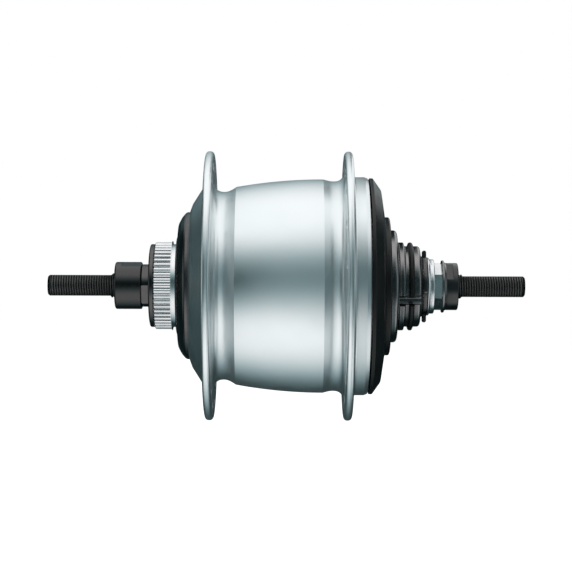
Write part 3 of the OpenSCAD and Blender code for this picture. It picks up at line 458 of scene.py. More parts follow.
def turned_place(tree):
    """Distance from the axle and place along it, which are the same all round a turned piece."""
    split = tree.nodes.new("ShaderNodeSeparateXYZ")
    tree.links.new(object_place(tree), split.inputs[0])
    across = tree.nodes.new("ShaderNodeCombineXYZ")
    tree.links.new(split.outputs["X"], across.inputs["X"])
    tree.links.new(split.outputs["Z"], across.inputs["Z"])
    radius = tree.nodes.new("ShaderNodeVectorMath")
    radius.operation = "LENGTH"
    tree.links.new(across.outputs[0], radius.inputs[0])
    place = tree.nodes.new("ShaderNodeCombineXYZ")
    tree.links.new(radius.outputs["Value"], place.inputs["X"])
    tree.links.new(split.outputs["Y"], place.inputs["Y"])
    return radius.outputs["Value"], place.outputs[0]


def noise(tree, place, scale, detail=2.0):
    texture = tree.nodes.new("ShaderNodeTexNoise")
    texture.inputs["Scale"].default_value = scale
    texture.inputs["Detail"].default_value = detail
    tree.links.new(place, texture.inputs["Vector"])
    return texture.outputs["Fac"]


def ranged(tree, value, from_low, from_high, low, high):
    """Maps the values between two limits to the range from low to high."""
    node = tree.nodes.new("ShaderNodeMapRange")
    node.inputs["From Min"].default_value = from_low
    node.inputs["From Max"].default_value = from_high
    node.inputs["To Min"].default_value = low
    node.inputs["To Max"].default_value = high
    tree.links.new(value, node.inputs["Value"])
    return node.outputs["Result"]


def spread(tree, value, low, high):
    """Maps the middle of a noise to the range from low to high."""
    return ranged(tree, value, NOISE_LOW, NOISE_HIGH, low, high)


def blend_colours(tree, value, first, second):
    mix = tree.nodes.new("ShaderNodeMix")
    mix.data_type = "RGBA"
    mix.inputs["A"].default_value = (*first, 1)
    mix.inputs["B"].default_value = (*second, 1)
    tree.links.new(value, mix.inputs["Factor"])
    return mix.outputs["Result"]


def bumped(tree, height, strength, normal=None):
    """The normal of a bump, laid over that of another bump if there is one."""
    bump = tree.nodes.new("ShaderNodeBump")
    bump.inputs["Strength"].default_value = strength
    bump.inputs["Distance"].default_value = BUMP_DEPTH
    tree.links.new(height, bump.inputs["Height"])
    if normal:
        tree.links.new(normal, bump.inputs["Normal"])
    return bump.outputs["Normal"]


def surface(
        name, light, dark, metallic, rough, patch, rings, grain, grain_scale, shine=0.5, painted_thread_shade=False):
    """A finish that drifts in soft patches. A threaded one has light crests and dark roots, which are a
    painted highlight and painted shade.
    """
    material, tree, shader = new_material(name)
    place = object_place(tree)
    radius, turned_at = turned_place(tree)
    if painted_thread_shade:
        # Painted shade in the thread's roots and a painted highlight on its crests: the colour goes from
        # dark to light with the distance from the axle
        level = ranged(tree, radius, THREAD_ROOT_R * MM, THREAD_R * MM, 0, 1)
    else:
        level = spread(tree, noise(tree, place, patch, PATCH_DETAIL), 0, 1)
    tree.links.new(blend_colours(tree, level, dark, light), shader.inputs["Base Color"])
    smudges = noise(tree, place, patch * SMUDGE_RATIO, SMUDGE_DETAIL)
    tree.links.new(spread(tree, smudges, *rough), shader.inputs["Roughness"])
    shader.inputs["Metallic"].default_value = metallic
    shader.inputs["Specular IOR Level"].default_value = shine
    normal = None
    if rings:
        normal = bumped(tree, noise(tree, turned_at, RING_SCALE), rings)
    normal = bumped(tree, noise(tree, place, grain_scale), grain, normal)
    tree.links.new(normal, shader.inputs["Normal"])
    return material


MATERIALS = {name: surface(name, **finish) for name, finish in FINISHES.items()}


# Turned pieces


def corner(before, at, after, fillet):
    """The points of a rounded corner, tangent to both of its sides."""
    to_before = (before - at).normalized()
    to_after = (after - at).normalized()
    half = to_before.angle(to_after) / 2
    if fillet == 0 or half > STRAIGHT:
        return [at]
    centre = at + (to_before + to_after).normalized() * fillet / math.sin(half)
    first = at + to_before * fillet / math.tan(half) - centre
    last = at + to_after * fillet / math.tan(half) - centre
    swing = first.angle_signed(last)
    steps = max(2, math.ceil(FILLET_STEPS * abs(swing) / (math.pi / 2)))
    return [centre + Matrix.Rotation(-swing * k / steps, 2) @ first for k in range(steps + 1)]


def outline(points):
    """Rounds the corners of an outline. A point is a radius, a place, a fillet and maybe a zone."""
    flat = [Vector((p[0], p[1])) for p in points]
    made = []
    for i, point in enumerate(points):
        zone = point[3] if len(point) > 3 else ""
        after = flat[(i + 1) % len(flat)]
        made += [(p.x, p.y, zone) for p in corner(flat[i - 1], flat[i], after, point[2])]
    return made


def to_frame(radius, place, angle):
    turn = math.radians(angle)
    return Vector((radius * math.cos(turn), -place, radius * math.sin(turn))) * MM


def even_angles(count):
    return [360 * k / count for k in range(count)]


def bridge(built, here, there, closed=True):
    """Faces between two rows of points, which close into rings or stay open."""
    count = len(here)
    for j in range(count if closed else count - 1):
        after = (j + 1) % count
        built.faces.new([here[j], here[after], there[after], there[j]])


def fill_holes(built):
    bmesh.ops.holes_fill(built, edges=[e for e in built.edges if e.is_boundary], sides=0)


def mesh_from(built, name):
    """A mesh with its faces outward, from a bmesh that is then freed."""
    bmesh.ops.recalc_face_normals(built, faces=built.faces)
    mesh = bpy.data.meshes.new(name)
    built.to_mesh(mesh)
    built.free()
    return mesh


def in_scene(name, data):
    """An object of the scene that has a mesh, a light or a camera as its data."""
    made = bpy.data.objects.new(name, data)
    bpy.context.scene.collection.objects.link(made)
    return made


def new_object(name, mesh, material):
    piece = in_scene(name, mesh)
    mesh.materials.clear()
    mesh.materials.append(material)
    return piece


def shade(piece, angle):
    """Smooth shading that keeps edges over the angle sharp."""
    piece.data.shade_smooth()
    piece.data.set_sharp_from_angle(angle=math.radians(angle))


def smooth(piece, angle=SHARP_ANGLE):
    """Smooth shading that also keeps long faces flat."""
    shade(piece, angle)
    weighted = piece.modifiers.new("weighted", "WEIGHTED_NORMAL")
    weighted.keep_sharp = True


def settle(piece, body, slot, *replaced):
    """Puts a piece on its body and hides the nodes of the frame that it stands for. Its slot is not used.
    """
    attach(piece, body)
    if replaced:
        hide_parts(*replaced)


def turned_mesh(name, points, angles=None, shape=None):
    """A mesh turned from an outline. A shape may move each point by its zone and angle."""
    path = outline(points)
    angles = angles or even_angles(COLUMNS)
    built = bmesh.new()
    grid = []
    for radius, place, zone in path:
        row = []
        for angle in angles:
            r, s = shape(zone, angle, radius, place) if shape and zone else (radius, place)
            row.append(built.verts.new(to_frame(r, s, angle)))
        grid.append(row)
    for i, here in enumerate(grid):
        bridge(built, here, grid[(i + 1) % len(grid)])
    bmesh.ops.remove_doubles(built, verts=built.verts, dist=MERGE)
    return mesh_from(built, name)


def turned(name, points, body, slot, replaced=(), angles=None, shape=None, finish=None):
    """A turned piece on a body, in the finish of its slot or in one of its own."""
    mesh = turned_mesh(name, points, angles, shape)
    piece = new_object(name, mesh, MATERIALS[finish or slot])
    smooth(piece)
    settle(piece, body, slot, *replaced)


def flat_limit(count, across, turn, angle):
    """How far a point at the angle may lie from the axle so that it stays inside the wrench flats."""
    step = 360 / count
    off = (angle - turn + step / 2) % step - step / 2
    return across / 2 / math.cos(math.radians(off)) if abs(off) < FLAT_REACH else math.inf


def flats(count, across, turn):
    """A shape with wrench flats in one zone and the fine teeth of a lock nut's face in another."""
    def shape(zone, angle, radius, place):
        if zone == "flats":
            return min(radius, flat_limit(count, across, turn, angle)), place
        wave = 0.5 - 0.5 * math.cos(math.radians(angle * NUT_TEETH))
        return radius, place - math.copysign(NUT_TOOTH_DEPTH, place) * wave
    return shape


def nut_face(radius, place):
    """The outer face of a lock nut from its bore outward, with a ring of fine teeth."""
    return [
        (BORE_R, place, 0), (BORE_R + NUT_BEVEL, place, FINE_EDGE),
        (BORE_R + NUT_TEETH_START, place, 0, "teeth"), (radius - NUT_TEETH_INSET, place, 0, "teeth")]


# Axle


def thread_rows():
    """Radius and part of the pitch of each row of points along one turn of the thread."""
    first, top, last = CREST_PARTS
    crest = THREAD_R - CREST_DROP
    return [(THREAD_ROOT_R, 0.0), (crest, first), (THREAD_R, top), (crest, last)]


def make_thread(name, side):
    """The helical thread of one end of the axle, with a chamfer and two flats."""
    low, high = sorted((side * THREAD_START, side * axle.end))
    turns = math.ceil((high - low) / THREAD_PITCH) + 2
    built = bmesh.new()
    grid = []
    for k in range(turns):
        for radius, part in thread_rows():
            row = []
            for j in range(THREAD_COLUMNS + 1):
                angle = 360 * j / THREAD_COLUMNS
                place = low + (k - 1 + part + angle / 360) * THREAD_PITCH
                place = min(max(place, low), high)
                chamfer = THREAD_R - THREAD_CHAMFER + axle.end - abs(place)
                point = to_frame(min(radius, chamfer), place, angle)
                if abs(place) > FLAT_START:
                    point.z = min(max(point.z, -AXLE_FLAT * MM), AXLE_FLAT * MM)
                row.append(built.verts.new(point))
            grid.append(row)
    for here, there in zip(grid, grid[1:]):
        bridge(built, here, there, closed=False)
    bmesh.ops.remove_doubles(built, verts=built.verts, dist=THREAD_MERGE)
    fill_holes(built)
    thread = new_object(name, mesh_from(built, name), MATERIALS["dark_steel"])
    shade(thread, THREAD_SHARP_ANGLE)
    return thread


def make_stem():
    """The middle of the axle with its pawl pockets, as the frame has it between the two threads."""
    built = bmesh.new()
    built.from_mesh(frame["nodes"]["hub_axle"].data)
    for side in (-1, 1):
        bmesh.ops.bisect_plane(
            built, geom=built.verts[:] + built.edges[:] + built.faces[:],
            plane_co=(0, side * THREAD_START * MM, 0), plane_no=(0, side, 0), clear_outer=True)
    fill_holes(built)
    stem = new_object("axle_stem", mesh_from(built, "axle_stem"), MATERIALS["dark_steel"])
    smooth(stem, STEM_SHARP_ANGLE)
    return stem


settle(make_thread("axle_thread_left", -1), "axle", "dark_steel", "hub_axle")
settle(make_thread("axle_thread_right", 1), "axle", "dark_steel")
settle(make_stem(), "axle", "dark_steel")


# Brake side

left_collar_end = left_nut.start + LEFT_COLLAR

turned("left_locknut_turned", [
    *nut_face(left_nut.radius, left_nut.start), (left_nut.radius, left_nut.start, LEFT_NUT_EDGE),
    (left_nut.radius, left_collar_end, HAIR_EDGE),
    (left_nut.radius, left_collar_end + ZONE_STEP, 0, "flats"),
    (left_nut.radius, left_nut.end, SOFT_EDGE, "flats"), (BORE_R, left_nut.end, 0)],
    "axle", "black_steel", ["left_locknut"],
    shape=flats(2, LEFT_NUT_FLATS, LEFT_NUT_TURN), finish="oiled_black")

turned("left_cone_turned", [
    (BORE_R, left_cone.start, 0), (left_cone.radius, left_cone.start, LEFT_CONE_EDGE, "flats"),
    (left_cone.radius, disc.start, 0, "flats"), *track("left_balls", *LEFT_CONE_TRACK),
    (left_cone.radius - LEFT_CONE_NOSE, left_cone.end, LEFT_CONE_NOSE_EDGE), (BORE_R, left_cone.end, 0)],
    "axle", "black_steel", ["left_cone"],
    shape=flats(2, LEFT_CONE_FLATS, LEFT_CONE_TURN), finish="satin_black")

disc_end = disc.end + DISC_LAP
disc_rim = disc.start + DISC_STEP

turned("left_cone_disc_turned", [
    (left_cone.radius, disc.start, 0), (disc.radius - DISC_FACE_INSET, disc.start, FINE_EDGE),
    (disc.radius - DISC_RIM_INSET, disc_rim, FINE_EDGE), (disc.radius, disc_rim, DISC_EDGE),
    (disc.radius, disc_end, EDGE), (left_cone.radius, disc_end, 0)],
    "axle", "black_rubber", ["left_cone_disc"], finish="satin_black")


def spline_shape(zone, angle, radius, place):
    """Teeth with crowned tops and narrow gaps between them."""
    step = 360 / SPLINE_TEETH
    off = abs((angle + step / 2) % step - step / 2)
    crown = SPLINE_CROWN * min(off / TOOTH_HALF, 1) ** 2
    depth = (SPLINE_DEPTH - SPLINE_CROWN) * min(max((off - TOOTH_HALF) / TOOTH_FLANK, 0), 1)
    return radius - crown - depth, place


def spline_angles():
    """The columns across each tooth and its gap, on both sides of its middle."""
    step = 360 / SPLINE_TEETH
    crown = [TOOTH_HALF * k / SPLINE_CROWN_STEPS for k in range(SPLINE_CROWN_STEPS + 1)]
    foot = TOOTH_HALF + TOOTH_FLANK
    marks = crown + [foot, foot + TOOTH_GAP_STEP, step / 2]
    offsets = [-m for m in marks[:0:-1]] + marks[:-1]
    return [step * k + off for k in range(SPLINE_TEETH) for off in offsets]


teeth_start = disc_end + SPLINE_GAP
lip_start = spline.end - LIP_T / 2
lip_end = lip_start + LIP_T
lip_face = lip_start + LIP_STEP
seal_start = left_seal.start + SEAL_SETBACK
neck_bore_r = NECK_R - NECK_SLEEVE

turned("brake_spline_turned", [
    (SPLINE_BORE_R, teeth_start, 0), (SPLINE_BORE_R + SPLINE_MOUTH, teeth_start, HAIR_EDGE),
    (SPLINE_TIP_R - SPLINE_TIP_INSET, teeth_start, 0, "spline"),
    (SPLINE_TIP_R, teeth_start + SPLINE_TIP_BEVEL, SPLINE_TIP_EDGE, "spline"),
    (SPLINE_TIP_R, lip_start, 0, "spline"), (SPLINE_TIP_R - LIP_INSET, lip_face, 0),
    (spline.radius, lip_face, 0), (spline.radius, lip_end, 0), (SPLINE_BORE_R, lip_end, 0)],
    "shell", "spline_steel", ["brake_spline"], spline_angles(), spline_shape)

turned("bright_neck_turned", [
    (neck_bore_r, lip_end, 0), (NECK_R, lip_end, 0),
    (NECK_R, seal_start, 0), (neck_bore_r, seal_start, 0)],
    "shell", "bright_steel")

turned("left_seal_turned", [
    (NECK_R, seal_start, 0), (left_seal.radius, seal_start, SOFT_EDGE),
    (left_seal.radius, left_seal.end, 0), (NECK_R, left_seal.end, 0)],
    "shell", "black_rubber", ["left_seal"])

turned("left_dust_cap_turned", [
    (NECK_R, left_cap.start, 0),
    (left_cap.radius - LEFT_CAP_FRONT_INSET, left_cap.start, LEFT_CAP_FRONT_EDGE),
    (left_cap.radius - LEFT_CAP_DOME_INSET, left_cap.start + LEFT_CAP_DOME_STEP, LEFT_CAP_DOME_EDGE),
    (left_cap.radius - LEFT_CAP_BACK_INSET, left_cap.end - LEFT_CAP_BACK_STEP, LEFT_CAP_BACK_EDGE),
    (left_cap.radius, left_cap.end - LEFT_CAP_LAND, EDGE), (left_cap.radius, left_cap.end, 0),
    (NECK_R, left_cap.end, 0)],
    "shell", "black_plastic", ["left_dust_cap"], finish="satin_black")


# Shell


def barrel_points():
    """The crowned outside of the barrel, which meets the crown level."""
    points = []
    for k in range(BARREL_STEPS + 1):
        part = 1 - k / BARREL_STEPS
        place = CROWN_PLACE + (SHOULDER_PLACE - CROWN_PLACE) * part
        points.append((CROWN_R + (SHOULDER_R - CROWN_R) * part ** 2, place, 0))
    return points


def rim_points(middle):
    """The rim of a flange, a little thicker at its edge than inside."""
    first = middle - FLANGE_T / 2
    last = middle + FLANGE_T / 2
    foot_r = shell.radius - BEAD_FOOT_INSET
    bead_r = shell.radius - BEAD_INSET
    return [
        (foot_r, first, BEAD_FOOT_EDGE), (bead_r, first - RIM_BEAD, BEAD_EDGE),
        (shell.radius, first - RIM_BEAD, RIM_EDGE), (shell.radius, last + RIM_BEAD, RIM_EDGE),
        (bead_r, last + RIM_BEAD, BEAD_EDGE), (foot_r, last, BEAD_FOOT_EDGE)]


def flange_middle(mount_name):
    return -MOUNTS[mount_name]["pos_m"][1] / MM


def shell_points():
    """The outline of the shell: outside from the brake side to the mouth, and back inside."""
    left = flange_middle("left_spoke_holes")
    right = flange_middle("right_spoke_holes")
    mouth = shell.end
    wall = left_cap.end
    outside = [
        (SPLINE_BORE_R, shell.start, 0), (SPLINE_BORE_R, lip_end, 0), (neck_bore_r, lip_end, 0),
        (neck_bore_r, wall, 0), (left_cap.radius, wall, 0),
        (left_cap.radius + DISH_FOOT, wall + DISH_FOOT_STEP, DISH_FOOT_EDGE),
        (left_cap.radius + DISH_TOP, left - FLANGE_T / 2, DISH_TOP_EDGE), *rim_points(left),
        (WAIST_R + WAIST_START_RISE, left + FLANGE_T / 2, WAIST_START_EDGE),
        (WAIST_R - WAIST_DROP, WAIST_PLACE, WAIST_EDGE),
        (WAIST_R + WAIST_END_RISE, WAIST_PLACE + WAIST_END_STEP, WAIST_END_EDGE), *barrel_points(),
        (VALLEY_R, CROWN_PLACE + VALLEY_STEP, VALLEY_EDGE),
        (VALLEY_R + VALLEY_END_RISE, right - FLANGE_T / 2 - VALLEY_END_RISE, VALLEY_END_EDGE),
        *rim_points(right), (BAND_R, right + FLANGE_T / 2, BAND_START_EDGE),
        (BAND_R, mouth - BAND_BEVEL_STEP, EDGE), (BAND_R - BAND_BEVEL, mouth, 0)]
    inside = [
        (right_cup.radius, mouth, 0), (right_cup.radius, right_cup.start, 0),
        (MOUTH_BORE_R, right_cup.start, 0), (MOUTH_BORE_R, CROWN_PLACE, SOFT_EDGE),
        (MIDDLE_BORE_R, CROWN_PLACE - MIDDLE_STEP, SOFT_EDGE),
        (MIDDLE_BORE_R, SHOULDER_PLACE + WAIST_BORE_STEP, BORE_EDGE),
        (WAIST_BORE_R, SHOULDER_PLACE - WAIST_BORE_END, BORE_EDGE),
        (WAIST_BORE_R, left - LEFT_FLANGE_INSET, DISH_BORE_EDGE),
        (DISH_BORE_R, wall + WALL_T, DISH_BORE_EDGE), (WALL_BORE_R, wall + WALL_T, SOFT_EDGE),
        (WALL_BORE_R, left_cup.end, 0), (left_cup.radius, left_cup.end, 0),
        (left_cup.radius, shell.start, 0)]
    return outside + inside


def spoke_cutter():
    """Every spoke hole of both flanges as one mesh, each with a bevel at its two mouths."""
    built = bmesh.new()
    for mount_name, phase in (("left_spoke_holes", 0), ("right_spoke_holes", 0.5)):
        dims = MOUNTS[mount_name]["dims"]
        hole_r = dims["hole_r_mm"]
        mouth_r = hole_r + HOLE_BEVEL
        profile = (
            (mouth_r, -HOLE_REACH), (hole_r, -HOLE_STRAIGHT),
            (hole_r, HOLE_STRAIGHT), (mouth_r, HOLE_REACH))
        for k in range(dims["count"]):
            turn = 360 / dims["count"] * (k + phase)
            centre = to_frame(dims["pcd_mm"] / 2, flange_middle(mount_name), turn)
            rings = []
            for radius, off in profile:
                ring = [centre + to_frame(radius, off, angle) for angle in even_angles(HOLE_SIDES)]
                rings.append([built.verts.new(point) for point in ring])
            for here, there in zip(rings, rings[1:]):
                bridge(built, here, there)
            built.faces.new(rings[0])
            built.faces.new(rings[-1])
    return new_object("spoke_cutter", mesh_from(built, "spoke_cutter"), MATERIALS["shell_silver"])


def make_shell():
    """The shell with its spoke holes cut."""
    name = "hub_shell_turned"
    mesh = turned_mesh(name, shell_points(), even_angles(FINE_COLUMNS))
    piece = new_object(name, mesh, MATERIALS["shell_silver"])
    cutter = spoke_cutter()
    cut = piece.modifiers.new("holes", "BOOLEAN")
    cut.object = cutter
    cut.solver = "EXACT"
    graph = bpy.context.evaluated_depsgraph_get()
    finished = bpy.data.meshes.new_from_object(piece.evaluated_get(graph))
    piece.modifiers.clear()
    piece.data = finished
    bpy.data.objects.remove(cutter)
    smooth(piece)
    settle(piece, "shell", "shell_silver", "hub_shell")


make_shell()


# Drive side

flange_end = driver.start + DRIVER_FLANGE_T
cap_floor = flange_end + CAP_FLOOR_GAP
cap_face = right_cap.end - BOSS_H
skirt_r = right_cap.radius - SKIRT_T

turned("right_dust_cap_turned", [
    (DRIVER_SEAT_R, cap_floor, 0), (right_cap.radius - CAP_FLOOR_INSET, cap_floor, 0),
    (skirt_r, right_cap.start + SKIRT_DEPTH, SOFT_EDGE), (skirt_r, right_cap.start, EDGE),
    (right_cap.radius, right_cap.start, EDGE),
    (right_cap.radius, right_cap.start + SKIRT_LAND, SKIRT_EDGE),
    (right_cap.radius - CAP_BEVEL_INSET, cap_face - CAP_BEVEL_H, CAP_BEVEL_EDGE),
    (BOSS_R + BOSS_ROOT_INSET, cap_face, CAP_FACE_EDGE),
    (BOSS_R, cap_face + BOSS_ROOT_STEP, BOSS_ROOT_EDGE),
    (BOSS_R, right_cap.end, BOSS_EDGE), (DRIVER_SEAT_R, right_cap.end, 0)],
    "driver", "black_plastic", ["right_dust_cap"])

turned("sprocket_ring_turned", [
    (DRIVER_SEAT_R, sprocket_ring.start, 0), (sprocket_ring.radius, sprocket_ring.start, 0),
    (sprocket_ring.radius, sprocket_ring.end, SPROCKET_RING_EDGE), (DRIVER_SEAT_R, sprocket_ring.end, 0)],
    "driver", "black_steel", ["sprocket_ring"])


def slot_half_angle():
    return math.degrees(math.asin(SLOT_WIDTH / 2 / DRIVER_RIB_R))


def driver_shape(zone, angle, radius, place):
    """Three slots with hollow floors, cut across the ribs and the nose."""
    off = abs((angle - SLOT_AT + SLOT_SPACING / 2) % SLOT_SPACING - SLOT_SPACING / 2)
    if off > slot_half_angle():
        return radius, place
    hollow = SLOT_FLOOR_R + SLOT_RISE * (off / slot_half_angle()) ** 2
    return min(radius, hollow), place


def driver_angles():
    """Even columns, and two more at each edge of each slot."""
    half = slot_half_angle()
    edges = []
    for k in range(360 // SLOT_SPACING):
        for side in (-1, 1):
            for way in (-1, 1):
                edges.append(SLOT_AT + SLOT_SPACING * k + side * (half + SLOT_SIDE * way))
    return sorted(even_angles(COLUMNS) + edges)


rib = sprocket_ring.end + RIB_GAP
groove = rib + RIB_T
ring_start = groove + RING_GAP
ring_end = ring_start + RING_T
ring_foot_r = DRIVER_NOSE_R - RING_FOOT
ring_root_r = DRIVER_NOSE_R + RING_FOOT

turned("driver_turned", [
    (DRIVER_BORE_R, driver.start, 0), (driver.radius, driver.start, EDGE), (driver.radius, flange_end, 0),
    (DRIVER_SEAT_R, flange_end, 0), (DRIVER_SEAT_R, sprocket_ring.end, 0),
    (DRIVER_NOSE_R, sprocket_ring.end, 0), (DRIVER_NOSE_R, rib - ZONE_STEP, 0),
    (DRIVER_NOSE_R, rib, 0, "slots"), (DRIVER_RIB_R, rib, SOFT_EDGE, "slots"),
    (DRIVER_RIB_R, groove, SOFT_EDGE, "slots"), (DRIVER_NOSE_R, groove + RIB_SLOPE, EDGE, "slots"),
    (DRIVER_NOSE_R, driver.end, DRIVER_NOSE_EDGE, "slots"),
    (driver_seal.radius + DRIVER_SEAL_FIT, driver.end, 0), *track("driver_balls", *DRIVER_TRACK),
    (DRIVER_BORE_R, driver.start + DRIVER_BORE_STEP, 0)],
    "driver", "black_steel", ["driver"], driver_angles(), driver_shape)


def ring_shape(zone, angle, radius, place):
    """A ring that dips below the floor of the slots where it meets them."""
    floor_r, place = driver_shape(zone, angle, radius, place)
    if floor_r == radius:
        return radius, place
    return floor_r - RING_FOOT - RING_DIP * (DRIVER_RIB_R - radius), place


turned("driver_ring_turned", [
    (ring_foot_r, ring_start, 0, "slots"), (ring_root_r, ring_start, 0, "slots"),
    (DRIVER_RIB_R, ring_start + RING_FOOT_STEP, RING_EDGE, "slots"),
    (DRIVER_RIB_R, ring_end - RING_FOOT_STEP, RING_EDGE, "slots"),
    (ring_root_r, ring_end, 0, "slots"), (ring_foot_r, ring_end, 0, "slots")],
    "driver", "black_rubber", angles=driver_angles(), shape=ring_shape)


# Selector ring, drive side cone and nuts


def selector_shape(zone, angle, radius, place):
    """A shallow recess in the rim, whose two ends slope."""
    first, last = SELECTOR_MARK
    inside = min(angle - first, last - angle)
    return radius - SELECTOR_MARK_DEPTH * min(max(inside / SELECTOR_MARK_SLOPE, 0), 1), place


def selector_angles():
    """Even columns, and more along the two sloping ends of the recess."""
    first, last = SELECTOR_MARK
    edges = []
    for edge in (first, last - SELECTOR_MARK_SLOPE):
        for k in range(SELECTOR_MARK_STEPS + 1):
            edges.append(edge + SELECTOR_MARK_SLOPE / SELECTOR_MARK_STEPS * k)
    return sorted(even_angles(COLUMNS) + edges)


def make_tab(name, side):
    """A tab of the selector ring, round at its outer end."""
    built = bmesh.new()
    thick = selector.end - selector.start - TAB_CLEARANCE
    inner = SELECTOR_R - TAB_ROOT
    outer = math.sqrt(selector.radius ** 2 - (TAB_WIDTH / 2) ** 2)
    round_r = thick / 2 - TAB_LAND
    path = [(inner, 0), (inner, thick)]
    for angle in range(90, -91, -TAB_STEP):
        turn = math.radians(angle)
        path.append((outer - round_r + round_r * math.cos(turn), thick / 2 + round_r * math.sin(turn)))
    sides = []
    for across in (-TAB_WIDTH / 2, TAB_WIDTH / 2):
        sides.append([
            built.verts.new(Vector((across, -(selector.start + s), side * r)) * MM) for r, s in path])
    built.faces.new(sides[0])
    built.faces.new(sides[1])
    bridge(built, *sides)
    tab = new_object(name, mesh_from(built, name), MATERIALS["satin_black"])
    bevel = tab.modifiers.new("bevel", "BEVEL")
    bevel.width = TAB_BEVEL * MM
    bevel.segments = TAB_BEVEL_STEPS
    bevel.angle_limit = math.radians(TAB_BEVEL_ANGLE)
    smooth(tab, TAB_SHARP_ANGLE)
    settle(tab, "selector", "black_steel")


mark_edge = selector.start + SELECTOR_LAND

turned("selector_ring_turned", [
    (JOURNAL_R, selector.start, 0), (SELECTOR_R, selector.start, SELECTOR_FRONT_EDGE),
    (SELECTOR_R, mark_edge, 0), (SELECTOR_R, mark_edge + ZONE_STEP, 0, "mark"),
    (SELECTOR_R, selector.end, SOFT_EDGE, "mark"), (JOURNAL_R, selector.end, 0)],
    "selector", "black_steel", ["selector_ring"], selector_angles(), selector_shape, "satin_black")
make_tab("selector_tab_1", 1)
make_tab("selector_tab_2", -1)

seal_bore_r = JOURNAL_R + SEAL_BORE_GAP

turned("driver_seal_turned", [
    (seal_bore_r, driver_seal.start, 0), (driver_seal.radius, driver_seal.start, 0),
    (driver_seal.radius, driver.end, 0), (SELECTOR_R, driver.end, 0),
    (SELECTOR_R, driver_seal.end, FINE_EDGE), (seal_bore_r, driver_seal.end, 0)],
    "axle", "black_rubber", ["driver_seal"])

journal = JOURNAL_R - JOURNAL_GAP
cone_face = right_cone.end - CONE_FLANGE_T

turned("right_cone_turned", [
    (CONE_NOSE_R, right_cone.start, 0), *track("driver_balls", *RIGHT_CONE_TRACK),
    (journal + CONE_FOOT, driver_seal.end, 0), (journal, driver_seal.end, 0), (journal, cone_face, 0),
    (CONE_FLANGE_R + COLLAR_OUT, cone_face, COLLAR_EDGE),
    (CONE_FLANGE_R + COLLAR_TOP_OUT, cone_face + COLLAR_TOP_STEP, COLLAR_TOP_EDGE),
    (CONE_FLANGE_R - GROOVE_DEPTH, cone_face + GROOVE_STEP, 0),
    (CONE_FLANGE_R, cone_face + GROOVE_END_STEP, FINE_EDGE), (CONE_FLANGE_R, right_cone.end, SOFT_EDGE),
    (BORE_R, right_cone.end, 0), (BORE_R, cone_face, 0), (CONE_NOSE_R, cone_face, 0)],
    "axle", "bright_steel", ["right_cone"])

hex_corner_r = HEX_FLATS / 2 / math.cos(math.pi / HEX_SIDES)

turned("cone_hex_nut_turned", [
    (BORE_R, hex_nut.start, 0), (hex_corner_r, hex_nut.start, HEX_EDGE, "flats"),
    (hex_corner_r, hex_nut.end - HEX_CHAMFER_H, 0, "flats"),
    (hex_corner_r - HEX_CHAMFER, hex_nut.end, 0, "flats"), (BORE_R, hex_nut.end, 0)],
    "axle", "bright_steel", ["cone_hex_nut"], even_angles(FINE_COLUMNS),
    flats(HEX_SIDES, HEX_FLATS, 0))

washer_rim_end = washer.start + WASHER_RIM_T

turned("lock_washer_turned", [
    (BORE_R, washer.start, 0), (washer.radius, washer.start, EDGE), (washer.radius, washer_rim_end, EDGE),
    (right_nut.radius + WASHER_STEP, washer_rim_end, WASHER_STEP_EDGE),
    (right_nut.radius, washer.end, 0), (BORE_R, washer.end, 0)],
    "axle", "black_steel", ["lock_washer"])

right_collar_start = right_nut.end - RIGHT_COLLAR

turned("right_locknut_turned", [
    (BORE_R, right_nut.start, 0), (right_nut.radius, right_nut.start, EDGE, "flats"),
    (right_nut.radius, right_collar_start - ZONE_STEP, 0, "flats"),
    (right_nut.radius, right_collar_start, HAIR_EDGE), (right_nut.radius, right_nut.end, SOFT_EDGE),
    *reversed(nut_face(right_nut.radius, right_nut.end))],
    "axle", "black_steel", ["right_locknut"],
    shape=flats(2, RIGHT_NUT_FLATS, RIGHT_NUT_TURN), finish="oiled_black")


# Nodes of the frame that stay, each in the finish of its slot

SLOT_OF = {part["node"]: part["material_slot"] for part in frame["record"]["subparts"]}

for node_name, node in frame["nodes"].items():
    node.data.materials.clear()
    node.data.materials.append(MATERIALS[SLOT_OF[node_name]])


# Studio, whose sizes are in metres

FLOOR_Z = -0.16
FLOOR_HALF = 4
FLOOR_GREY = 0.90
FLOOR_ROUGH = 0.9
FLOOR_LIFT = 0.42
SKY_LIGHT = 0.85
SEEN_WHITE = 1.0


def math_node(tree, operation, first, second):
    """Joins two values. Each is a number or the output of a node."""
    node = tree.nodes.new("ShaderNodeMath")
    node.operation = operation
    for socket, value in zip(node.inputs, (first, second)):
        if isinstance(value, float):
            socket.default_value = value
        else:
            tree.links.new(value, socket)
    return node.outputs[0]


def seen_or_mirrored(tree):
    """One for what is seen straight on, in a mirror or through glass, and nought for other light."""
    path = tree.nodes.new("ShaderNodeLightPath").outputs
    mirrored = math_node(tree, "MAXIMUM", path["Is Glossy Ray"], path["Is Transmission Ray"])
    return math_node(tree, "MAXIMUM", path["Is Camera Ray"], mirrored)


def floor_material():
    """White card that keeps its shadows and is lifted to white where it is seen."""
    material, tree, shader = new_material("studio_floor")
    shader.inputs["Base Color"].default_value = (FLOOR_GREY, FLOOR_GREY, FLOOR_GREY, 1)
    shader.inputs["Roughness"].default_value = FLOOR_ROUGH
    shader.inputs["Specular IOR Level"].default_value = 0.0
    shader.inputs["Emission Color"].default_value = (1, 1, 1, 1)
    lift = math_node(tree, "MULTIPLY", seen_or_mirrored(tree), FLOOR_LIFT)
    tree.links.new(lift, shader.inputs["Emission Strength"])
    return material


def add_floor():
    mesh = bpy.data.meshes.new("floor")
    corners = [(-1, -1), (1, -1), (1, 1), (-1, 1)]
    mesh.from_pydata([(x * FLOOR_HALF, y * FLOOR_HALF, FLOOR_Z) for x, y in corners], [], [(0, 1, 2, 3)])
    new_object("floor", mesh, floor_material())


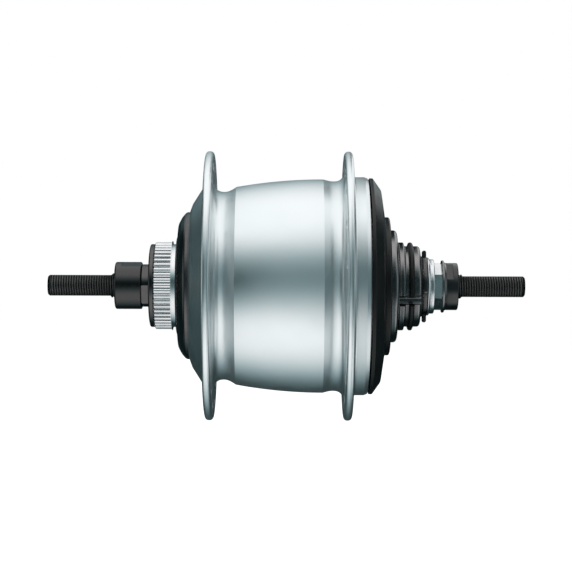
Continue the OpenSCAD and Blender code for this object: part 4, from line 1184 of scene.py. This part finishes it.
def add_sky():
    """White sky, a little dimmer as a light than where it is seen."""
    world = bpy.data.worlds.new("studio")
    bpy.context.scene.world = world
    tree = cleared_tree(world)
    output = tree.nodes.new("ShaderNodeOutputWorld")
    light = tree.nodes.new("ShaderNodeBackground")
    light.inputs["Color"].default_value = (1, 1, 1, 1)
    strength = ranged(tree, seen_or_mirrored(tree), 0, 1, SKY_LIGHT, SEEN_WHITE)
    tree.links.new(strength, light.inputs["Strength"])
    tree.links.new(light.outputs[0], output.inputs["Surface"])


def add_lamp(name, elevation, distance, wide, deep, radiance):
    """A soft lamp beside the axle at an elevation above the camera's direction."""
    data = bpy.data.lights.new(name, "AREA")
    data.shape = "RECTANGLE"
    data.size = wide
    data.size_y = deep
    data.energy = radiance * math.pi * wide * deep
    lamp = in_scene(name, data)
    turn = math.radians(elevation)
    lamp.location = (-distance * math.cos(turn), 0, distance * math.sin(turn))
    lamp.rotation_mode = "QUATERNION"
    aim = -Vector(lamp.location).normalized()
    lamp.rotation_quaternion = aim.to_track_quat("-Z", "Y")
    lamp.visible_camera = False
    lamp.visible_glossy = False


# The tent is a tube of glowing cloth round the axle that only reflections show. It is white
# above and below the hub, and dim before and behind it, so that bright metal gets its shading.
# Its two ends narrow to a point, and are light on the camera's side of the axle only.
TENT_R = 0.155
TENT_TIP_R = 0.002
TENT_ROWS = 120
TENT_NARROWS = 0.20
TENT_END = 0.36

# Red of the dimmest cloth as a share of its green, and the extra blue of the dimmest cloth
TENT_TINT = 0.36
TENT_BLUE = 0.08

# A light is a list of elevations above the camera's direction, each with its brightness
DARK = [(-180, 0.05), (180, 0.05)]
END_LIGHT = [(-110, 0.05), (-50, 0.55), (60, 0.75), (120, 0.05)]
SIDE_LIGHT = [
    (-127, 0.03), (-58, 1.05), (-46, 1.05), (2, 0.05), (12, 0.05), (58, 1.2), (90, 1.2), (164, 0.04)]
SHELL_LIGHT = [
    (-127, 0.03), (-50, 1.18), (-42, 1.18), (6, 0.25), (12, 0.25), (58, 1.2), (90, 1.2), (164, 0.04)]
RIB_LIGHT = [
    (-115, 0.02), (-65, 0.30), (-50, 0.30), (-20, 0.02), (34, 0.02), (74, 1.2), (88, 1.2), (118, 0.02)]
BRIGHT_LIGHT = [
    (-110, 0.02), (-75, 1.0), (-45, 1.0), (-15, 0.18), (15, 0.18), (60, 1.1), (132, 1.1), (170, 0.05)]

# Each station is a place along the axle and the light of the tent there
TENT_STATIONS = [
    (-TENT_END, END_LIGHT), (-0.25, END_LIGHT), (-TENT_NARROWS, DARK), (-0.18, DARK), (-0.12, SIDE_LIGHT),
    (-0.052, SIDE_LIGHT), (-0.040, SHELL_LIGHT), (0.027, SHELL_LIGHT), (0.046, RIB_LIGHT),
    (0.061, RIB_LIGHT), (0.065, BRIGHT_LIGHT), (0.14, BRIGHT_LIGHT), (TENT_NARROWS, DARK),
    (0.25, END_LIGHT), (TENT_END, END_LIGHT)]


def tent_grey(light, elevation):
    """The brightness of a light at an elevation, eased between its stops."""
    if elevation <= light[0][0]:
        return light[0][1]
    for (low, first), (high, last) in zip(light, light[1:]):
        if elevation <= high:
            part = (elevation - low) / (high - low)
            return first + (last - first) * part * part * (3 - 2 * part)
    return light[-1][1]


def tent_colour(grey):
    """White where the tent is bright, and a dark blue-green where it is dim."""
    bright = min(grey, 1)
    red = TENT_TINT + (1 - TENT_TINT) * math.sqrt(bright)
    blue = 1 + TENT_BLUE * (1 - bright)
    return (grey * red, grey, grey * blue, 1)


def tent_material():
    """Cloth that glows in the colours of the mesh."""
    material = bpy.data.materials.new("tent")
    tree = cleared_tree(material)
    output = tree.nodes.new("ShaderNodeOutputMaterial")
    emission = tree.nodes.new("ShaderNodeEmission")
    attribute = tree.nodes.new("ShaderNodeAttribute")
    attribute.attribute_name = "glow"
    tree.links.new(attribute.outputs["Color"], emission.inputs["Color"])
    tree.links.new(emission.outputs[0], output.inputs["Surface"])
    return material


def add_tent():
    built = bmesh.new()
    colours = []
    rows = []
    for k in range(TENT_ROWS + 1):
        elevation = -180 + 360 * k / TENT_ROWS
        turn = math.radians(elevation)
        row = []
        for along, light in TENT_STATIONS:
            narrowing = (TENT_END - abs(along)) / (TENT_END - TENT_NARROWS)
            reach = max(TENT_R * min(narrowing, 1), TENT_TIP_R)
            row.append(built.verts.new((-reach * math.cos(turn), -along, reach * math.sin(turn))))
            colours.append(tent_colour(tent_grey(light, elevation)))
        rows.append(row)
    for here, there in zip(rows, rows[1:]):
        bridge(built, here, there, closed=False)
    mesh = bpy.data.meshes.new("tent")
    built.to_mesh(mesh)
    built.free()
    glow = mesh.color_attributes.new("glow", "FLOAT_COLOR", "POINT")
    for point, colour in zip(glow.data, colours):
        point.color = colour
    tent = new_object("tent", mesh, tent_material())
    tent.visible_camera = False
    tent.visible_diffuse = False
    tent.visible_shadow = False
    tent.visible_transmission = False


add_floor()
add_sky()
add_lamp("upper_softbox", elevation=77, distance=1.0, wide=0.8, deep=0.7, radiance=0.8)
add_tent()


# Camera

camera_data = bpy.data.cameras.new("camera")
camera_data.lens = CAMERA_LENS
camera_data.sensor_width = 36
camera_data.clip_start = 0.01
camera_data.clip_end = 20
camera = in_scene("camera", camera_data)
camera.location = (-CAMERA_DISTANCE, CAMERA_SHIFT, 0)
facing = Euler((math.radians(90), 0, math.radians(-90))).to_matrix()
roll = Matrix.Rotation(math.radians(CAMERA_ROLL), 3, "Z")
camera.rotation_euler = (facing @ roll).to_euler()
bpy.context.scene.camera = camera
bpy.context.scene.view_settings.view_transform = "Standard"
